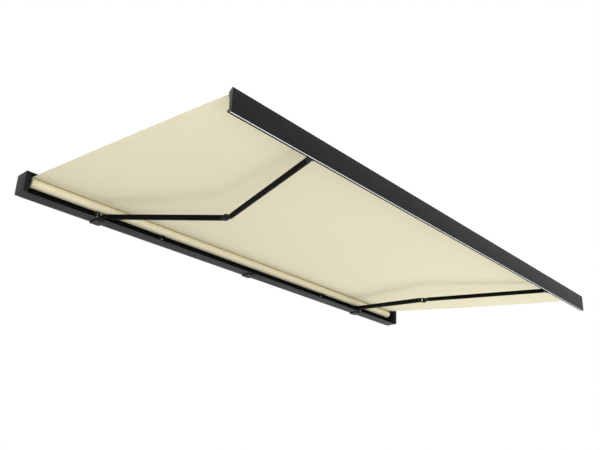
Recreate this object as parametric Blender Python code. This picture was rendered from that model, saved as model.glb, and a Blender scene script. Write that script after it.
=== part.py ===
"""Folding-arm canvas awning with a full cassette, shown extended.

Frame: metres, +Z up, +X along the cassette, the awning opens towards -Y.
The wall is the plane y = 0 and the underside of the cassette is z = 0.
"""
import math

import bmesh
import bpy
from mathutils import Matrix, Vector

# Overall sizes, in metres and degrees
WIDTH = 5.0
CASSETTE_HEIGHT = 0.168
CASSETTE_DEPTH = 0.148
MOUTH_LEAN = 0.007
PLATE_WALL = 0.0028
GAP = 0.0003
PITCH = math.radians(6.3)

# Wall brackets
BRACKET_BACK = 0.012
BRACKET_WIDTH = 0.090
BRACKET_SPACING = 1.78
TONGUE_REACH = 0.117
TONGUE_THICK = 0.0085
HOOK_Z = 0.1185
HOOK_LEG = 0.0055
HOOK_RISE = 0.0165
BRACKET_TOP = 0.142
WALL_BOLT_R = 0.0055
WALL_BOLT_Z = (0.046, 0.092)
CLAMP_SCREW_R = 0.0045
CLAMP_HEAD_R = 0.0075

# Cassette ends
END_CAP_THICK = 0.039
END_CAP_PLATE = 0.0035
END_CAP_RIM = 0.0065
BEARING_PLATE_THICK = 0.004
CORNER_R = 0.005
BACK_WALL = 0.003
LEDGE = 0.006
LEDGE_Z = (0.009, 0.084)
HOOD_LIP = 0.0135
HOOD_LAP = 0.016
HOOD_HOOK = 0.0205
HOOK_WALL = 0.0022

# Tray under the arms
TRAY_RECESS = 0.017
GROOVE_WIDTH = 0.0024
GROOVE_DEPTH = 0.0011
GROOVE_AT = (0.052, 0.094)

# Roller and canvas
ROLLER_R = 0.035
ROLLER_WALL = 0.0025
ROLLER_BACK = 0.072
ROLLER_Z = 0.1205
ROLLER_END_ROOM = 0.034
CANVAS_INSET = 0.007
ROLL_R = 0.041
CANVAS_THICK = 0.0012
CANVAS_SAG = 0.020
SIDE_SAG = 0.55
PIN_R = 0.006
PIN_CLEAR = 0.0006
MOTOR_R = 0.0225
MOTOR_LENGTH = 0.63
MOTOR_HEAD_R = 0.030
MOTOR_HEAD = 0.026

# Folding arms
SHOULDER_X = 1.75
SHOULDER_BACK = 0.090
SHOULDER_Z = 0.047
ARM_REACH = 1.218
ARM_OFFSET = 0.021
OPEN_SWING = math.radians(72.5)
HINGE_ROLL = math.radians(4.0)
FOLDED_DROP = 0.015
WRIST_RISE = 0.016
UPPER_TUBE = (0.038, 0.041)
FOREARM_TUBE = (0.032, 0.036)
TUBE_WALL = 0.003
TUBE_CORNER = 0.008
NECK_AT = 0.026
COLLAR_AT = 0.045
COLLAR_LONG = 0.008
SPIGOT_LONG = 0.032
KNUCKLE_R = 0.0185
KNUCKLE_HALF = 0.016
LUG_THICK = 0.006
LUG_CLEAR = 0.0005
ELBOW_TONGUE_HALF = 0.014
FORK_ROOT = 0.040
FIXING_PLATE = 0.0065
PLATE_REACH = (0.058, 0.086)
PLATE_HEIGHT = 0.060
SCREW_BLOCK = (0.062, 0.052, 0.077)
BLOCK_WALL = 0.007
SPRING_R = 0.0125
SPRING_LONG = 0.56
ROD_R = 0.003
ARM_REST_X = 1.13
ARM_REST_WIDTH = 0.032
ARM_REST_AIR = 0.0016

# Front bar
BAR_END_STEP = 0.005
BAR_HEIGHT = 0.157
BAR_LEAN = 0.0066
BAR_WEB = 0.018
BAR_TOP_DEPTH = 0.0272
BAR_BOTTOM_DEPTH = 0.0352
BAR_SKIN = 0.003
BAR_CAP = 0.004
WRIST_TO_FACE = 0.059
BAR_ABOVE_WRIST = 0.0269
KEDER_R = 0.0032
STRIP_WIDTH = 0.0125
STRIP_THICK = 0.0032

# Derived sizes
CASSETTE_BACK = -BRACKET_BACK
MOUTH_TOP = CASSETTE_BACK - CASSETTE_DEPTH
MOUTH_BOTTOM = MOUTH_TOP + MOUTH_LEAN
TRAY_FRONT = MOUTH_BOTTOM + TRAY_RECESS
CAP_INNER = WIDTH / 2 - END_CAP_THICK
ROLLER_HALF = CAP_INNER - ROLLER_END_ROOM
CANVAS_HALF = ROLLER_HALF - CANVAS_INSET
BAR_HALF = WIDTH / 2 - BAR_END_STEP
HOOD_LOW = CASSETTE_HEIGHT - HOOD_LAP
ARM_FLAT = math.sqrt(ARM_REACH ** 2 - ARM_OFFSET ** 2)
OUTWARD = Vector((0.0, -math.cos(PITCH), -math.sin(PITCH)))
ARM_UP = Vector((0.0, -math.sin(PITCH), math.cos(PITCH)))
ELBOW_DROP = (ARM_FLAT * math.sin(HINGE_ROLL) + FOLDED_DROP) / math.cos(HINGE_ROLL)
ARM_SPAN = 2 * (ARM_FLAT * math.sin(OPEN_SWING) + ARM_OFFSET * math.cos(OPEN_SWING))
WRIST_X = SHOULDER_X + WRIST_RISE * math.sin(HINGE_ROLL)
WRIST_LIFT = WRIST_RISE * math.cos(HINGE_ROLL)
WRIST_Y = -SHOULDER_BACK + ARM_SPAN * OUTWARD.y + WRIST_LIFT * ARM_UP.y
WRIST_Z = SHOULDER_Z + ARM_SPAN * OUTWARD.z + WRIST_LIFT * ARM_UP.z
BAR_FACE_Y = WRIST_Y - WRIST_TO_FACE
BAR_CENTRE_Z = WRIST_Z + BAR_ABOVE_WRIST

MATERIALS = {
    "powder_coat": ((0.075, 0.077, 0.080), 0.50, 0.35),
    "cast_black": ((0.022, 0.022, 0.024), 0.48, 0.30),
    "bright_steel": ((0.62, 0.62, 0.63), 0.28, 1.00),
    "spring_steel": ((0.30, 0.30, 0.31), 0.35, 0.90),
    "raw_aluminium": ((0.68, 0.69, 0.70), 0.35, 1.00),
    "black_plastic": ((0.020, 0.020, 0.021), 0.60, 0.00),
    "white_plastic": ((0.82, 0.83, 0.84), 0.40, 0.00),
    "canvas": ((0.73, 0.68, 0.49), 0.85, 0.00),
}


def clear_scene():
    """Remove every object of the scene."""
    for thing in list(bpy.data.objects):
        bpy.data.objects.remove(thing, do_unlink=True)


def material(name):
    """One Principled material for each finish."""
    found = bpy.data.materials.get(name)
    if found:
        return found
    colour, roughness, metallic = MATERIALS[name]
    made = bpy.data.materials.new(name)
    made.use_nodes = True
    shader = made.node_tree.nodes["Principled BSDF"]
    shader.inputs["Base Color"].default_value = (*colour, 1.0)
    shader.inputs["Roughness"].default_value = roughness
    shader.inputs["Metallic"].default_value = metallic
    made.diffuse_color = (*colour, 1.0)
    return made


def empty(name, matrix):
    """An axis marker that carries the pieces of one moving body."""
    marker = bpy.data.objects.new(name, None)
    marker.empty_display_size = 0.05
    marker.matrix_world = matrix
    bpy.context.scene.collection.objects.link(marker)
    return marker


def from_bmesh(name, mesh_data, finish, parent=None, smooth=False):
    """Turn a bmesh into a named object with its finish."""
    bmesh.ops.recalc_face_normals(mesh_data, faces=mesh_data.faces)
    mesh = bpy.data.meshes.new(name)
    mesh_data.to_mesh(mesh)
    mesh_data.free()
    thing = bpy.data.objects.new(name, mesh)
    mesh.materials.append(material(finish))
    bpy.context.scene.collection.objects.link(thing)
    if smooth:
        mesh.shade_smooth()
        mesh.set_sharp_from_angle(angle=math.radians(35))
    if parent:
        thing.parent = parent
    return thing


def prism(name, outline, low, high, finish, parent=None, axis="Z", smooth=False):
    """Extrude a closed outline along an axis; its points are the other two coordinates."""
    shape = bmesh.new()
    slot = "XYZ".index(axis)
    base = []
    for pair in outline:
        point = list(pair)
        point.insert(slot, low)
        base.append(shape.verts.new(point))
    face = shape.faces.new(base)
    made = bmesh.ops.extrude_face_region(shape, geom=[face])
    verts = [item for item in made["geom"] if isinstance(item, bmesh.types.BMVert)]
    shift = [0.0, 0.0, 0.0]
    shift[slot] = high - low
    bmesh.ops.translate(shape, vec=shift, verts=verts)
    return from_bmesh(name, shape, finish, parent, smooth)


def combine(thing, tool, operation):
    """Apply an exact Boolean with a tool object and remove the tool."""
    bpy.context.view_layer.update()
    change = thing.modifiers.new("shape", "BOOLEAN")
    change.operation = operation
    change.solver = "EXACT"
    change.object = tool
    graph = bpy.context.evaluated_depsgraph_get()
    finished = bpy.data.meshes.new_from_object(thing.evaluated_get(graph))
    thing.modifiers.remove(change)
    old = thing.data
    thing.data = finished
    finished.name = thing.name
    bpy.data.meshes.remove(old)
    bpy.data.objects.remove(tool, do_unlink=True)
    tidy = bmesh.new()
    tidy.from_mesh(thing.data)
    bmesh.ops.remove_doubles(tidy, verts=tidy.verts, dist=0.000002)
    bmesh.ops.dissolve_degenerate(tidy, dist=0.000002, edges=tidy.edges)
    tidy.to_mesh(thing.data)
    tidy.free()
    return thing


def circle(radius, steps, centre=(0.0, 0.0), turn=0.5):
    """Points of a circle; turn shifts them by a share of one step."""
    points = []
    for index in range(steps):
        angle = 2 * math.pi * (index + turn) / steps
        points.append((centre[0] + radius * math.cos(angle), centre[1] + radius * math.sin(angle)))
    return points


def arc(centre, radius, start, end, steps):
    """Points of an arc between two angles in degrees, both ends included."""
    points = []
    for index in range(steps + 1):
        angle = math.radians(start + (end - start) * index / steps)
        points.append((centre[0] + radius * math.cos(angle), centre[1] + radius * math.sin(angle)))
    return points


def rounded(corners, radius, steps=3):
    """Replace each corner of a polygon with an arc of the radius."""
    points = []
    count = len(corners)
    for index in range(count):
        here = Vector(corners[index])
        before = (Vector(corners[index - 1]) - here).normalized()
        after = (Vector(corners[(index + 1) % count]) - here).normalized()
        half = before.angle(after) / 2
        reach = radius / math.tan(half)
        middle = here + (before + after).normalized() * (radius / math.sin(half))
        start = here + before * reach - middle
        end = here + after * reach - middle
        for step in range(steps + 1):
            share = step / steps
            aim = (start * (1 - share) + end * share).normalized() * radius
            points.append(tuple(middle + aim))
    return points


def rounded_box(width, height, radius, centre=(0.0, 0.0), steps=3):
    """A rectangle with round corners about a centre."""
    a, b = width / 2, height / 2
    x, y = centre
    corners = [(x - a, y - b), (x + a, y - b), (x + a, y + b), (x - a, y + b)]
    return rounded(corners, radius, steps)


def hull(points):
    """Convex outline of points, anticlockwise."""
    ordered = sorted(set(points))

    def chain(items):
        line = []
        for item in items:
            while len(line) > 1:
                (ax, ay), (bx, by) = line[-2], line[-1]
                if (bx - ax) * (item[1] - ay) - (by - ay) * (item[0] - ax) > 0:
                    break
                line.pop()
            line.append(item)
        return line[:-1]

    return chain(ordered) + chain(ordered[::-1])


def pipe(name, outer, inner, low, high, finish, parent=None, smooth=False):
    """A hollow prism along local X with outer and inner loops of one count."""
    shape = bmesh.new()
    rings = []
    for loop in (outer, inner):
        for place in (low, high):
            rings.append([shape.verts.new((place, a, b)) for a, b in loop])
    outer_low, outer_high, inner_low, inner_high = rings
    count = len(outer)
    for index in range(count):
        after = (index + 1) % count
        shape.faces.new((outer_low[index], outer_low[after], outer_high[after], outer_high[index]))
        shape.faces.new((inner_low[after], inner_low[index], inner_high[index], inner_high[after]))
        shape.faces.new((outer_low[after], outer_low[index], inner_low[index], inner_low[after]))
        shape.faces.new((outer_high[index], outer_high[after], inner_high[after], inner_high[index]))
    return from_bmesh(name, shape, finish, parent, smooth)


def turned(name, profile, steps, finish, parent=None, axis="X", centre=(0.0, 0.0)):
    """A turned piece: (along, radius) pairs round an X or Z axis, closed at both ends."""
    shape = bmesh.new()
    rings = []
    for along, radius in profile:
        ring = []
        for a, b in circle(radius, steps, centre):
            ring.append(shape.verts.new((along, a, b) if axis == "X" else (a, b, along)))
        rings.append(ring)
    for first, second in zip(rings, rings[1:]):
        for index in range(steps):
            after = (index + 1) % steps
            shape.faces.new((first[index], first[after], second[after], second[index]))
    shape.faces.new(rings[0][::-1])
    shape.faces.new(rings[-1])
    return from_bmesh(name, shape, finish, parent, True)


def section_outline(inset=0.0, radius=CORNER_R):
    """Outside of the cassette's section, drawn in by an inset."""
    back = CASSETTE_BACK - inset
    corners = [
        (back, inset),
        (back, CASSETTE_HEIGHT - inset),
        (MOUTH_TOP + inset, CASSETTE_HEIGHT - inset),
        (MOUTH_BOTTOM + inset, inset),
    ]
    return rounded(corners, radius)


def back_profile():
    """Extruded back wall with the channel for the wall hooks and two screw ledges."""
    face = CASSETTE_BACK
    inner = face - BACK_WALL
    ledge = inner - LEDGE
    foot = PLATE_WALL + GAP
    top = HOOD_LOW
    mouth_low = HOOK_Z - GAP
    mouth_high = HOOK_Z + HOOK_LEG + 0.005
    channel_high = HOOK_Z + HOOK_RISE + 0.0015
    channel_deep = face - 0.0095
    outline = [
        (face, foot),
        (inner, foot),
        (inner, LEDGE_Z[0]),
        (ledge, LEDGE_Z[0]),
        (ledge, LEDGE_Z[0] + HOOK_WALL),
        (inner, LEDGE_Z[0] + HOOK_WALL),
        (inner, LEDGE_Z[1]),
        (ledge, LEDGE_Z[1]),
        (ledge, LEDGE_Z[1] + HOOK_WALL),
        (inner, LEDGE_Z[1] + HOOK_WALL),
        (inner, mouth_low - 0.0025),
        (channel_deep - 0.0025, mouth_low - 0.0025),
        (channel_deep - 0.0025, channel_high + 0.0025),
        (inner, channel_high + 0.0025),
        (inner, top - 0.0025),
        (inner - 0.007, top - 0.0025),
        (inner - 0.007, top),
        (face, top),
        (face, mouth_high),
        (inner, mouth_high),
        (inner, channel_high),
        (channel_deep, channel_high),
        (channel_deep, mouth_low),
        (face, mouth_low),
    ]
    end = CAP_INNER - GAP
    return prism("back_profile", outline, -end, end, "powder_coat", axis="X")


def bottom_profile():
    """Tray under the arms, with two fine grooves below and a rounded front edge."""
    outline = [(CASSETTE_BACK, 0.0), (CASSETTE_BACK, PLATE_WALL)]
    lip = CASSETTE_BACK - BACK_WALL - GAP
    lip_top = LEDGE_Z[0] - 0.0008
    outline += [(lip, PLATE_WALL), (lip, lip_top), (lip - HOOK_WALL, lip_top), (lip - HOOK_WALL, PLATE_WALL)]
    nose = PLATE_WALL / 2
    outline += arc((TRAY_FRONT + nose, nose), nose, 90, 270, 4)
    for reach in reversed(GROOVE_AT):
        middle = CASSETTE_BACK - reach
        outline.append((middle - GROOVE_WIDTH / 2, 0.0))
        outline.append((middle - GROOVE_WIDTH / 4, GROOVE_DEPTH))
        outline.append((middle + GROOVE_WIDTH / 4, GROOVE_DEPTH))
        outline.append((middle + GROOVE_WIDTH / 2, 0.0))
    end = CAP_INNER - GAP
    return prism("bottom_profile", outline, -end, end, "powder_coat", axis="X")


def hood():
    """Top cover with a front lip over the canvas and a hook behind."""
    top = CASSETTE_HEIGHT
    wall = PLATE_WALL
    lip = top - HOOD_LIP
    hook = top - HOOD_HOOK
    lap = HOOD_LOW + GAP
    front = MOUTH_TOP
    outline = [
        (CASSETTE_BACK, lap),
        (CASSETTE_BACK, top - CORNER_R),
    ]
    outline += arc((CASSETTE_BACK - CORNER_R, top - CORNER_R), CORNER_R, 0, 90, 3)[1:]
    outline += arc((front + CORNER_R, top - CORNER_R), CORNER_R, 90, 180, 3)
    outline += [(front + 0.0006, lip), (front + 0.0006 + wall, lip), (front + wall, top - CORNER_R)]
    outline += [(front + CORNER_R, top - wall)]
    rib = CASSETTE_BACK - BACK_WALL - 0.007 - GAP
    outline += [(rib - HOOK_WALL, top - wall), (rib - HOOK_WALL, hook), (rib, hook), (rib, top - wall)]
    outline += [(CASSETTE_BACK - wall, top - wall), (CASSETTE_BACK - wall, lap)]
    end = CAP_INNER - GAP
    return prism("hood", outline, -end, end, "powder_coat", axis="X")


def end_cap(name, side):
    """Cast end of the cassette: an outer plate with a deep rim."""
    inner = side * CAP_INNER
    outer = side * WIDTH / 2
    low, high = min(inner, outer), max(inner, outer)
    cap = prism(name, section_outline(), low, high, "powder_coat", axis="X")
    pocket_end = side * (WIDTH / 2 - END_CAP_PLATE)
    pocket_start = side * (CAP_INNER - 0.01)
    low, high = min(pocket_start, pocket_end), max(pocket_start, pocket_end)
    pocket = prism("pocket", section_outline(END_CAP_RIM, 0.003), low, high, "powder_coat", axis="X")
    return combine(cap, pocket, "DIFFERENCE")


def bearing_plate(name, side):
    """Inner plate of a cassette end, with a boss and a hole for the roller's pin."""
    low, high = side * CAP_INNER, side * (CAP_INNER + BEARING_PLATE_THICK)
    plate = prism(name, section_outline(END_CAP_RIM + GAP, 0.003), min(low, high), max(low, high),
                  "cast_black", axis="X")
    centre = (-ROLLER_BACK, ROLLER_Z)
    start = side * (CAP_INNER + BEARING_PLATE_THICK / 2)
    end = side * (CAP_INNER - 0.004)
    boss = prism("boss", circle(0.017, 16, centre), min(start, end), max(start, end),
                 "cast_black", axis="X")
    combine(plate, boss, "UNION")
    hole = prism("hole", circle(PIN_R + PIN_CLEAR, 12, centre), min(end, high) - 0.01,
                 max(end, high) + 0.01, "cast_black", axis="X")
    return combine(plate, hole, "DIFFERENCE")


def wall_bracket(name, place):
    """Extruded wall plate with an upper hook and a rounded tongue below the cassette."""
    plate = CASSETTE_BACK + GAP
    deep = CASSETTE_BACK - 0.009
    tongue_top = -GAP
    tongue_low = -TONGUE_THICK
    outline = [
        (0.0, tongue_low),
        (0.0, BRACKET_TOP),
        (-0.004, BRACKET_TOP),
        (plate, BRACKET_TOP - 0.010),
        (plate, HOOK_Z + HOOK_LEG),
        (deep + HOOK_LEG - 0.001, HOOK_Z + HOOK_LEG),
        (deep + HOOK_LEG - 0.001, HOOK_Z + HOOK_RISE),
        (deep, HOOK_Z + HOOK_RISE),
        (deep, HOOK_Z),
        (plate, HOOK_Z),
        (plate, tongue_top),
        (-TONGUE_REACH, tongue_top),
        (-TONGUE_REACH, tongue_low + 0.003),
        (-TONGUE_REACH + 0.003, tongue_low),
    ]
    half = BRACKET_WIDTH / 2
    body = prism(name, outline, place - half, place + half, "powder_coat", axis="X")
    shoulder_at = -TONGUE_REACH + half * 0.75
    plan = [(place + half + 0.01, 0.01), (place + half + 0.01, shoulder_at)]
    plan += [(place + half * math.cos(math.radians(a)), shoulder_at + (shoulder_at + TONGUE_REACH)
              * math.sin(math.radians(a))) for a in range(0, -181, -20)]
    plan += [(place - half - 0.01, shoulder_at), (place - half - 0.01, 0.01)]
    keep = prism("keep", plan, -0.03, 0.16, "powder_coat")
    combine(body, keep, "INTERSECT")
    for height in WALL_BOLT_Z:
        hole = turned("hole", [(-0.05, WALL_BOLT_R), (0.05, WALL_BOLT_R)], 10, "powder_coat")
        hole.rotation_euler = (0, 0, math.radians(90))
        hole.location = (place, 0, height)
        combine(body, hole, "DIFFERENCE")
    screw_y = -TONGUE_REACH + half * 0.75
    bore = turned("bore", [(-0.03, CLAMP_SCREW_R + GAP), (0.03, CLAMP_SCREW_R + GAP)], 12,
                  "powder_coat", axis="Z", centre=(place, screw_y))
    combine(body, bore, "DIFFERENCE")
    screw = turned(name.replace("bracket", "screw"), [
        (-TONGUE_THICK - GAP - 0.004, CLAMP_HEAD_R - 0.001),
        (-TONGUE_THICK - GAP - 0.003, CLAMP_HEAD_R),
        (-TONGUE_THICK - GAP, CLAMP_HEAD_R),
        (-TONGUE_THICK - GAP, CLAMP_SCREW_R),
        (-GAP, CLAMP_SCREW_R),
    ], 12, "bright_steel", axis="Z", centre=(place, screw_y))
    return body, screw


def roller():
    """Grooved tube, wound canvas and what carries them at both ends."""
    marker = empty("roller_axis", Matrix.Translation((0.0, -ROLLER_BACK, ROLLER_Z)))
    steps = 32
    inner_r = ROLLER_R - ROLLER_WALL
    outer, inner = [], []
    for index, (a, b) in enumerate(circle(1.0, steps)):
        groove = index % (steps // 2) == 3
        beside = index % (steps // 2) in (2, 3, 4)
        outer_radius = ROLLER_R - (0.004 if groove else 0.0)
        inner_radius = inner_r - (0.0045 if beside else 0.0)
        outer.append((a * outer_radius, b * outer_radius))
        inner.append((a * inner_radius, b * inner_radius))
    pipe("roller_tube", outer, inner, -ROLLER_HALF, ROLLER_HALF, "raw_aluminium", marker, True)

    leave = math.pi / 2 + PITCH
    outer, inner = [], []
    for index in range(steps):
        share = index / (steps - 1)
        angle = leave - 2 * math.pi * share
        radius = ROLL_R - CANVAS_THICK * share
        hole = ROLLER_R / math.cos(math.pi / steps) + GAP
        outer.append((radius * math.cos(angle), radius * math.sin(angle)))
        turn = leave - 2 * math.pi * index / steps
        inner.append((hole * math.cos(turn), hole * math.sin(turn)))
    pipe("canvas_roll", outer, inner, -CANVAS_HALF, CANVAS_HALF, "canvas", marker, True)

    plug = turned("idler_plug", [
        (-CAP_INNER - 0.006, PIN_R),
        (-ROLLER_HALF - 0.004, PIN_R),
        (-ROLLER_HALF - 0.004, ROLLER_R - 0.002),
        (-ROLLER_HALF - GAP, ROLLER_R - 0.002),
        (-ROLLER_HALF - GAP, inner_r - 0.0055),
        (-ROLLER_HALF + 0.045, inner_r - 0.0055),
    ], 16, "black_plastic", marker)

    motor_end = ROLLER_HALF + 0.002
    motor_start = motor_end - MOTOR_LENGTH
    turned("tube_motor", [
        (motor_start - 0.022, 0.0077),
        (motor_start, 0.0077),
        (motor_start, MOTOR_R),
        (motor_end, MOTOR_R),
        (motor_end, MOTOR_HEAD_R - 0.002),
        (motor_end + 0.002, MOTOR_HEAD_R),
        (motor_end + MOTOR_HEAD - 0.008, MOTOR_HEAD_R),
        (motor_end + MOTOR_HEAD - 0.008, PIN_R),
        (CAP_INNER + 0.006, PIN_R),
    ], 16, "black_plastic", axis="X", centre=(-ROLLER_BACK, ROLLER_Z))
    wheel_r = inner_r - 0.0055
    pipe("drive_wheel", circle(wheel_r, 16), circle(0.0084, 16), motor_start - 0.024,
         motor_start - 0.0005, "black_plastic", marker, True)
    pipe("motor_crown", circle(wheel_r, 16), circle(MOTOR_R + 0.001, 16), ROLLER_HALF - 0.034,
         ROLLER_HALF - 0.002, "black_plastic", marker, True)
    return plug


def canvas_sheet():
    """The drawn-out canvas: a thin cloth from the top of the roll to the front bar."""
    tangent = ROLL_R + CANVAS_THICK / 2 + GAP
    start = Vector((-ROLLER_BACK + tangent * ARM_UP.y, ROLLER_Z + tangent * ARM_UP.z))
    end = Vector((BAR_FACE_Y + BAR_TOP_DEPTH - 0.0025, BAR_CENTRE_Z + 0.0463))
    along_steps, across_steps = 24, 8
    shape = bmesh.new()
    layers = []
    for lift in (CANVAS_THICK / 2, -CANVAS_THICK / 2):
        rows = []
        for i in range(along_steps + 1):
            s = i / along_steps
            row = []
            for j in range(across_steps + 1):
                c = 2 * j / across_steps - 1
                sag = CANVAS_SAG * 4 * s * (1 - s) * (SIDE_SAG + (1 - SIDE_SAG) * (1 - c * c))
                y = start.x + (end.x - start.x) * s
                z = start.y + (end.y - start.y) * s - sag + lift
                row.append(shape.verts.new((c * CANVAS_HALF, y, z)))
            rows.append(row)
        layers.append(rows)
    for rows in layers:
        for first, second in zip(rows, rows[1:]):
            for j in range(across_steps):
                shape.faces.new((first[j], first[j + 1], second[j + 1], second[j]))
    top, low = layers
    rim_top = top[0] + [r[-1] for r in top[1:-1]] + top[-1][::-1] + [r[0] for r in top[-2:0:-1]]
    rim_low = low[0] + [r[-1] for r in low[1:-1]] + low[-1][::-1] + [r[0] for r in low[-2:0:-1]]
    for index in range(len(rim_top)):
        after = (index + 1) % len(rim_top)
        shape.faces.new((rim_top[index], rim_top[after], rim_low[after], rim_low[index]))
    return from_bmesh("canvas_sheet", shape, "canvas", smooth=True)


def lug_outline(nose, base_at, base_half, neck_half):
    """Plan of a bracket lug: a round nose at the pin that flares to its base."""
    outline = [(base_half, base_at), (neck_half, base_at * 0.45)]
    outline += arc((0.0, 0.0), nose, 0, 180, 8) if base_at < 0 else arc((0.0, 0.0), nose, 0, -180, 8)
    outline += [(-neck_half, base_at * 0.45), (-base_half, base_at)]
    return outline


def pin(name, parent, half, finish="bright_steel"):
    """Headed pin along the hinge's axis, its heads outside two lugs."""
    head = half + GAP
    return turned(name, [
        (-head - 0.0022, 0.0085),
        (-head - 0.0012, 0.0100),
        (-head, 0.0100),
        (-head, PIN_R),
        (head, PIN_R),
        (head, 0.0100),
        (head + 0.0012, 0.0100),
        (head + 0.0022, 0.0085),
    ], 12, finish, parent, axis="Z")


def bore(thing, parent):
    """Drill a casting on its hinge axis."""
    tool = turned("drill", [(-0.05, PIN_R + PIN_CLEAR), (0.05, PIN_R + PIN_CLEAR)], 12,
                  "cast_black", parent, axis="Z")
    return combine(thing, tool, "DIFFERENCE")


def shoulder_bracket(name, side, marker):
    """Casting on the back wall whose two lugs hold the upper arm's knuckle."""
    inner = CASSETTE_BACK - BACK_WALL - GAP
    plate_y = inner - FIXING_PLATE
    x = side * -SHOULDER_X
    inward, outward = PLATE_REACH
    middle = x - side * (outward - inward) / 2
    face = rounded_box(inward + outward, PLATE_HEIGHT, 0.008, (middle, SHOULDER_Z - 0.002))
    body = prism(name, face, plate_y, inner, "cast_black", axis="Y")
    to_plate = (plate_y + FIXING_PLATE / 2 + SHOULDER_BACK) / math.cos(PITCH)
    plan = lug_outline(0.0195, to_plate, 0.046, 0.0225)
    inside = KNUCKLE_HALF + LUG_CLEAR
    for low, high in ((inside, inside + LUG_THICK), (-inside - LUG_THICK, -inside)):
        lug = prism("lug", plan, low, high, "cast_black", marker)
        combine(body, lug, "UNION")
    rib = prism("rib", [(-0.006, 0.027), (0.006, 0.027), (0.006, to_plate), (-0.006, to_plate)],
                -inside - 0.001, inside + 0.001, "cast_black", marker)
    combine(body, rib, "UNION")
    width, height, reach = SCREW_BLOCK
    centre = (x - side * (outward - width / 2), plate_y + 0.001 - reach / 2)
    low = SHOULDER_Z - 0.003 - height / 2
    block = prism("block", rounded_box(width, reach, 0.004, centre), low, low + height, "cast_black")
    combine(body, block, "UNION")
    room = rounded_box(width - 2 * BLOCK_WALL, reach - BLOCK_WALL - 0.002, 0.003,
                       (centre[0], centre[1] + (BLOCK_WALL - 0.002) / 2))
    combine(body, prism("room", room, low - 0.02, low + height + 0.02, "cast_black"), "DIFFERENCE")
    return bore(body, marker)


def tilted_frame(name, parent, matrix):
    """A marker along the sloping tube axis of an arm."""
    marker = empty(name, Matrix.Identity(4))
    marker.parent = parent
    marker.matrix_local = matrix
    return marker


def socket_end(body, frame, way, tube, offset):
    """Collar and spigot of a casting: they meet and enter the end of an arm tube."""
    width, height = tube
    start = way * COLLAR_AT
    stop = way * (COLLAR_AT + COLLAR_LONG)
    deep = way * (COLLAR_AT + COLLAR_LONG + SPIGOT_LONG)
    ring = [(y + offset, z) for y, z in rounded_box(width, height, TUBE_CORNER)]
    collar = prism("collar", ring, min(start, stop), max(start, stop), "cast_black", frame, axis="X")
    combine(body, collar, "UNION")
    slim = 2 * (TUBE_WALL + GAP)
    core = rounded_box(width - slim, height - slim, TUBE_CORNER - TUBE_WALL - GAP)
    core = [(y + offset, z) for y, z in core]
    overlap = stop - way * 0.002
    spigot = prism("spigot", core, min(overlap, deep), max(overlap, deep), "cast_black", frame, axis="X")
    return combine(body, spigot, "UNION")


def neck(half, width, offset, frame, collar, way):
    """Solid that blends the flat eye of a casting into the outline of its collar."""
    shape = bmesh.new()
    root = way * NECK_AT
    for y in (-width / 2, width / 2):
        for z in (-half + 0.0004, half - 0.0004):
            shape.verts.new((root, y + offset, z))
    tube_width, height = collar
    into = way * (COLLAR_AT + 0.001)
    for y, z in rounded_box(tube_width - 0.0016, height - 0.0016, TUBE_CORNER - 0.0008):
        shape.verts.new(frame.matrix_basis @ Vector((into, y + offset, z)))
    bmesh.ops.convex_hull(shape, input=shape.verts)
    return shape


def arm_casting(name, parent, frame, way, tube, offset, radius, half):
    """Knuckle or fork blank: a flat round eye whose neck leads to the collar of a tube."""
    width = min(tube[0], 2 * radius) - 0.004
    edge = way * (NECK_AT + 0.003)
    plan = hull(circle(radius, 20) + [(edge, offset - width / 2), (edge, offset + width / 2)])
    body = prism(name, plan, -half, half, "cast_black", parent)
    blend = from_bmesh("neck", neck(half, width, offset, frame, tube, way), "cast_black", parent)
    combine(body, blend, "UNION")
    return socket_end(body, frame, way, tube, offset)


def arm_tube(name, frame, tube, offset, length):
    """Extruded arm tube between the collars of its two castings."""
    width, height = tube
    outer = [(y + offset, z) for y, z in rounded_box(width, height, TUBE_CORNER)]
    slim = 2 * TUBE_WALL
    inner = rounded_box(width - slim, height - slim, TUBE_CORNER - TUBE_WALL)
    inner = [(y + offset, z) for y, z in inner]
    start = COLLAR_AT + COLLAR_LONG + GAP
    return pipe(name, outer, inner, start, length - start, "cast_black", frame, True)


def hinge_plane(place, side):
    """Frame at a pivot whose Z is the hinge axis: pitched with the fall, rolled outwards."""
    return (Matrix.Translation(place) @ Matrix.Rotation(PITCH, 4, "X")
            @ Matrix.Rotation(-side * HINGE_ROLL, 4, "Y"))


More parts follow.
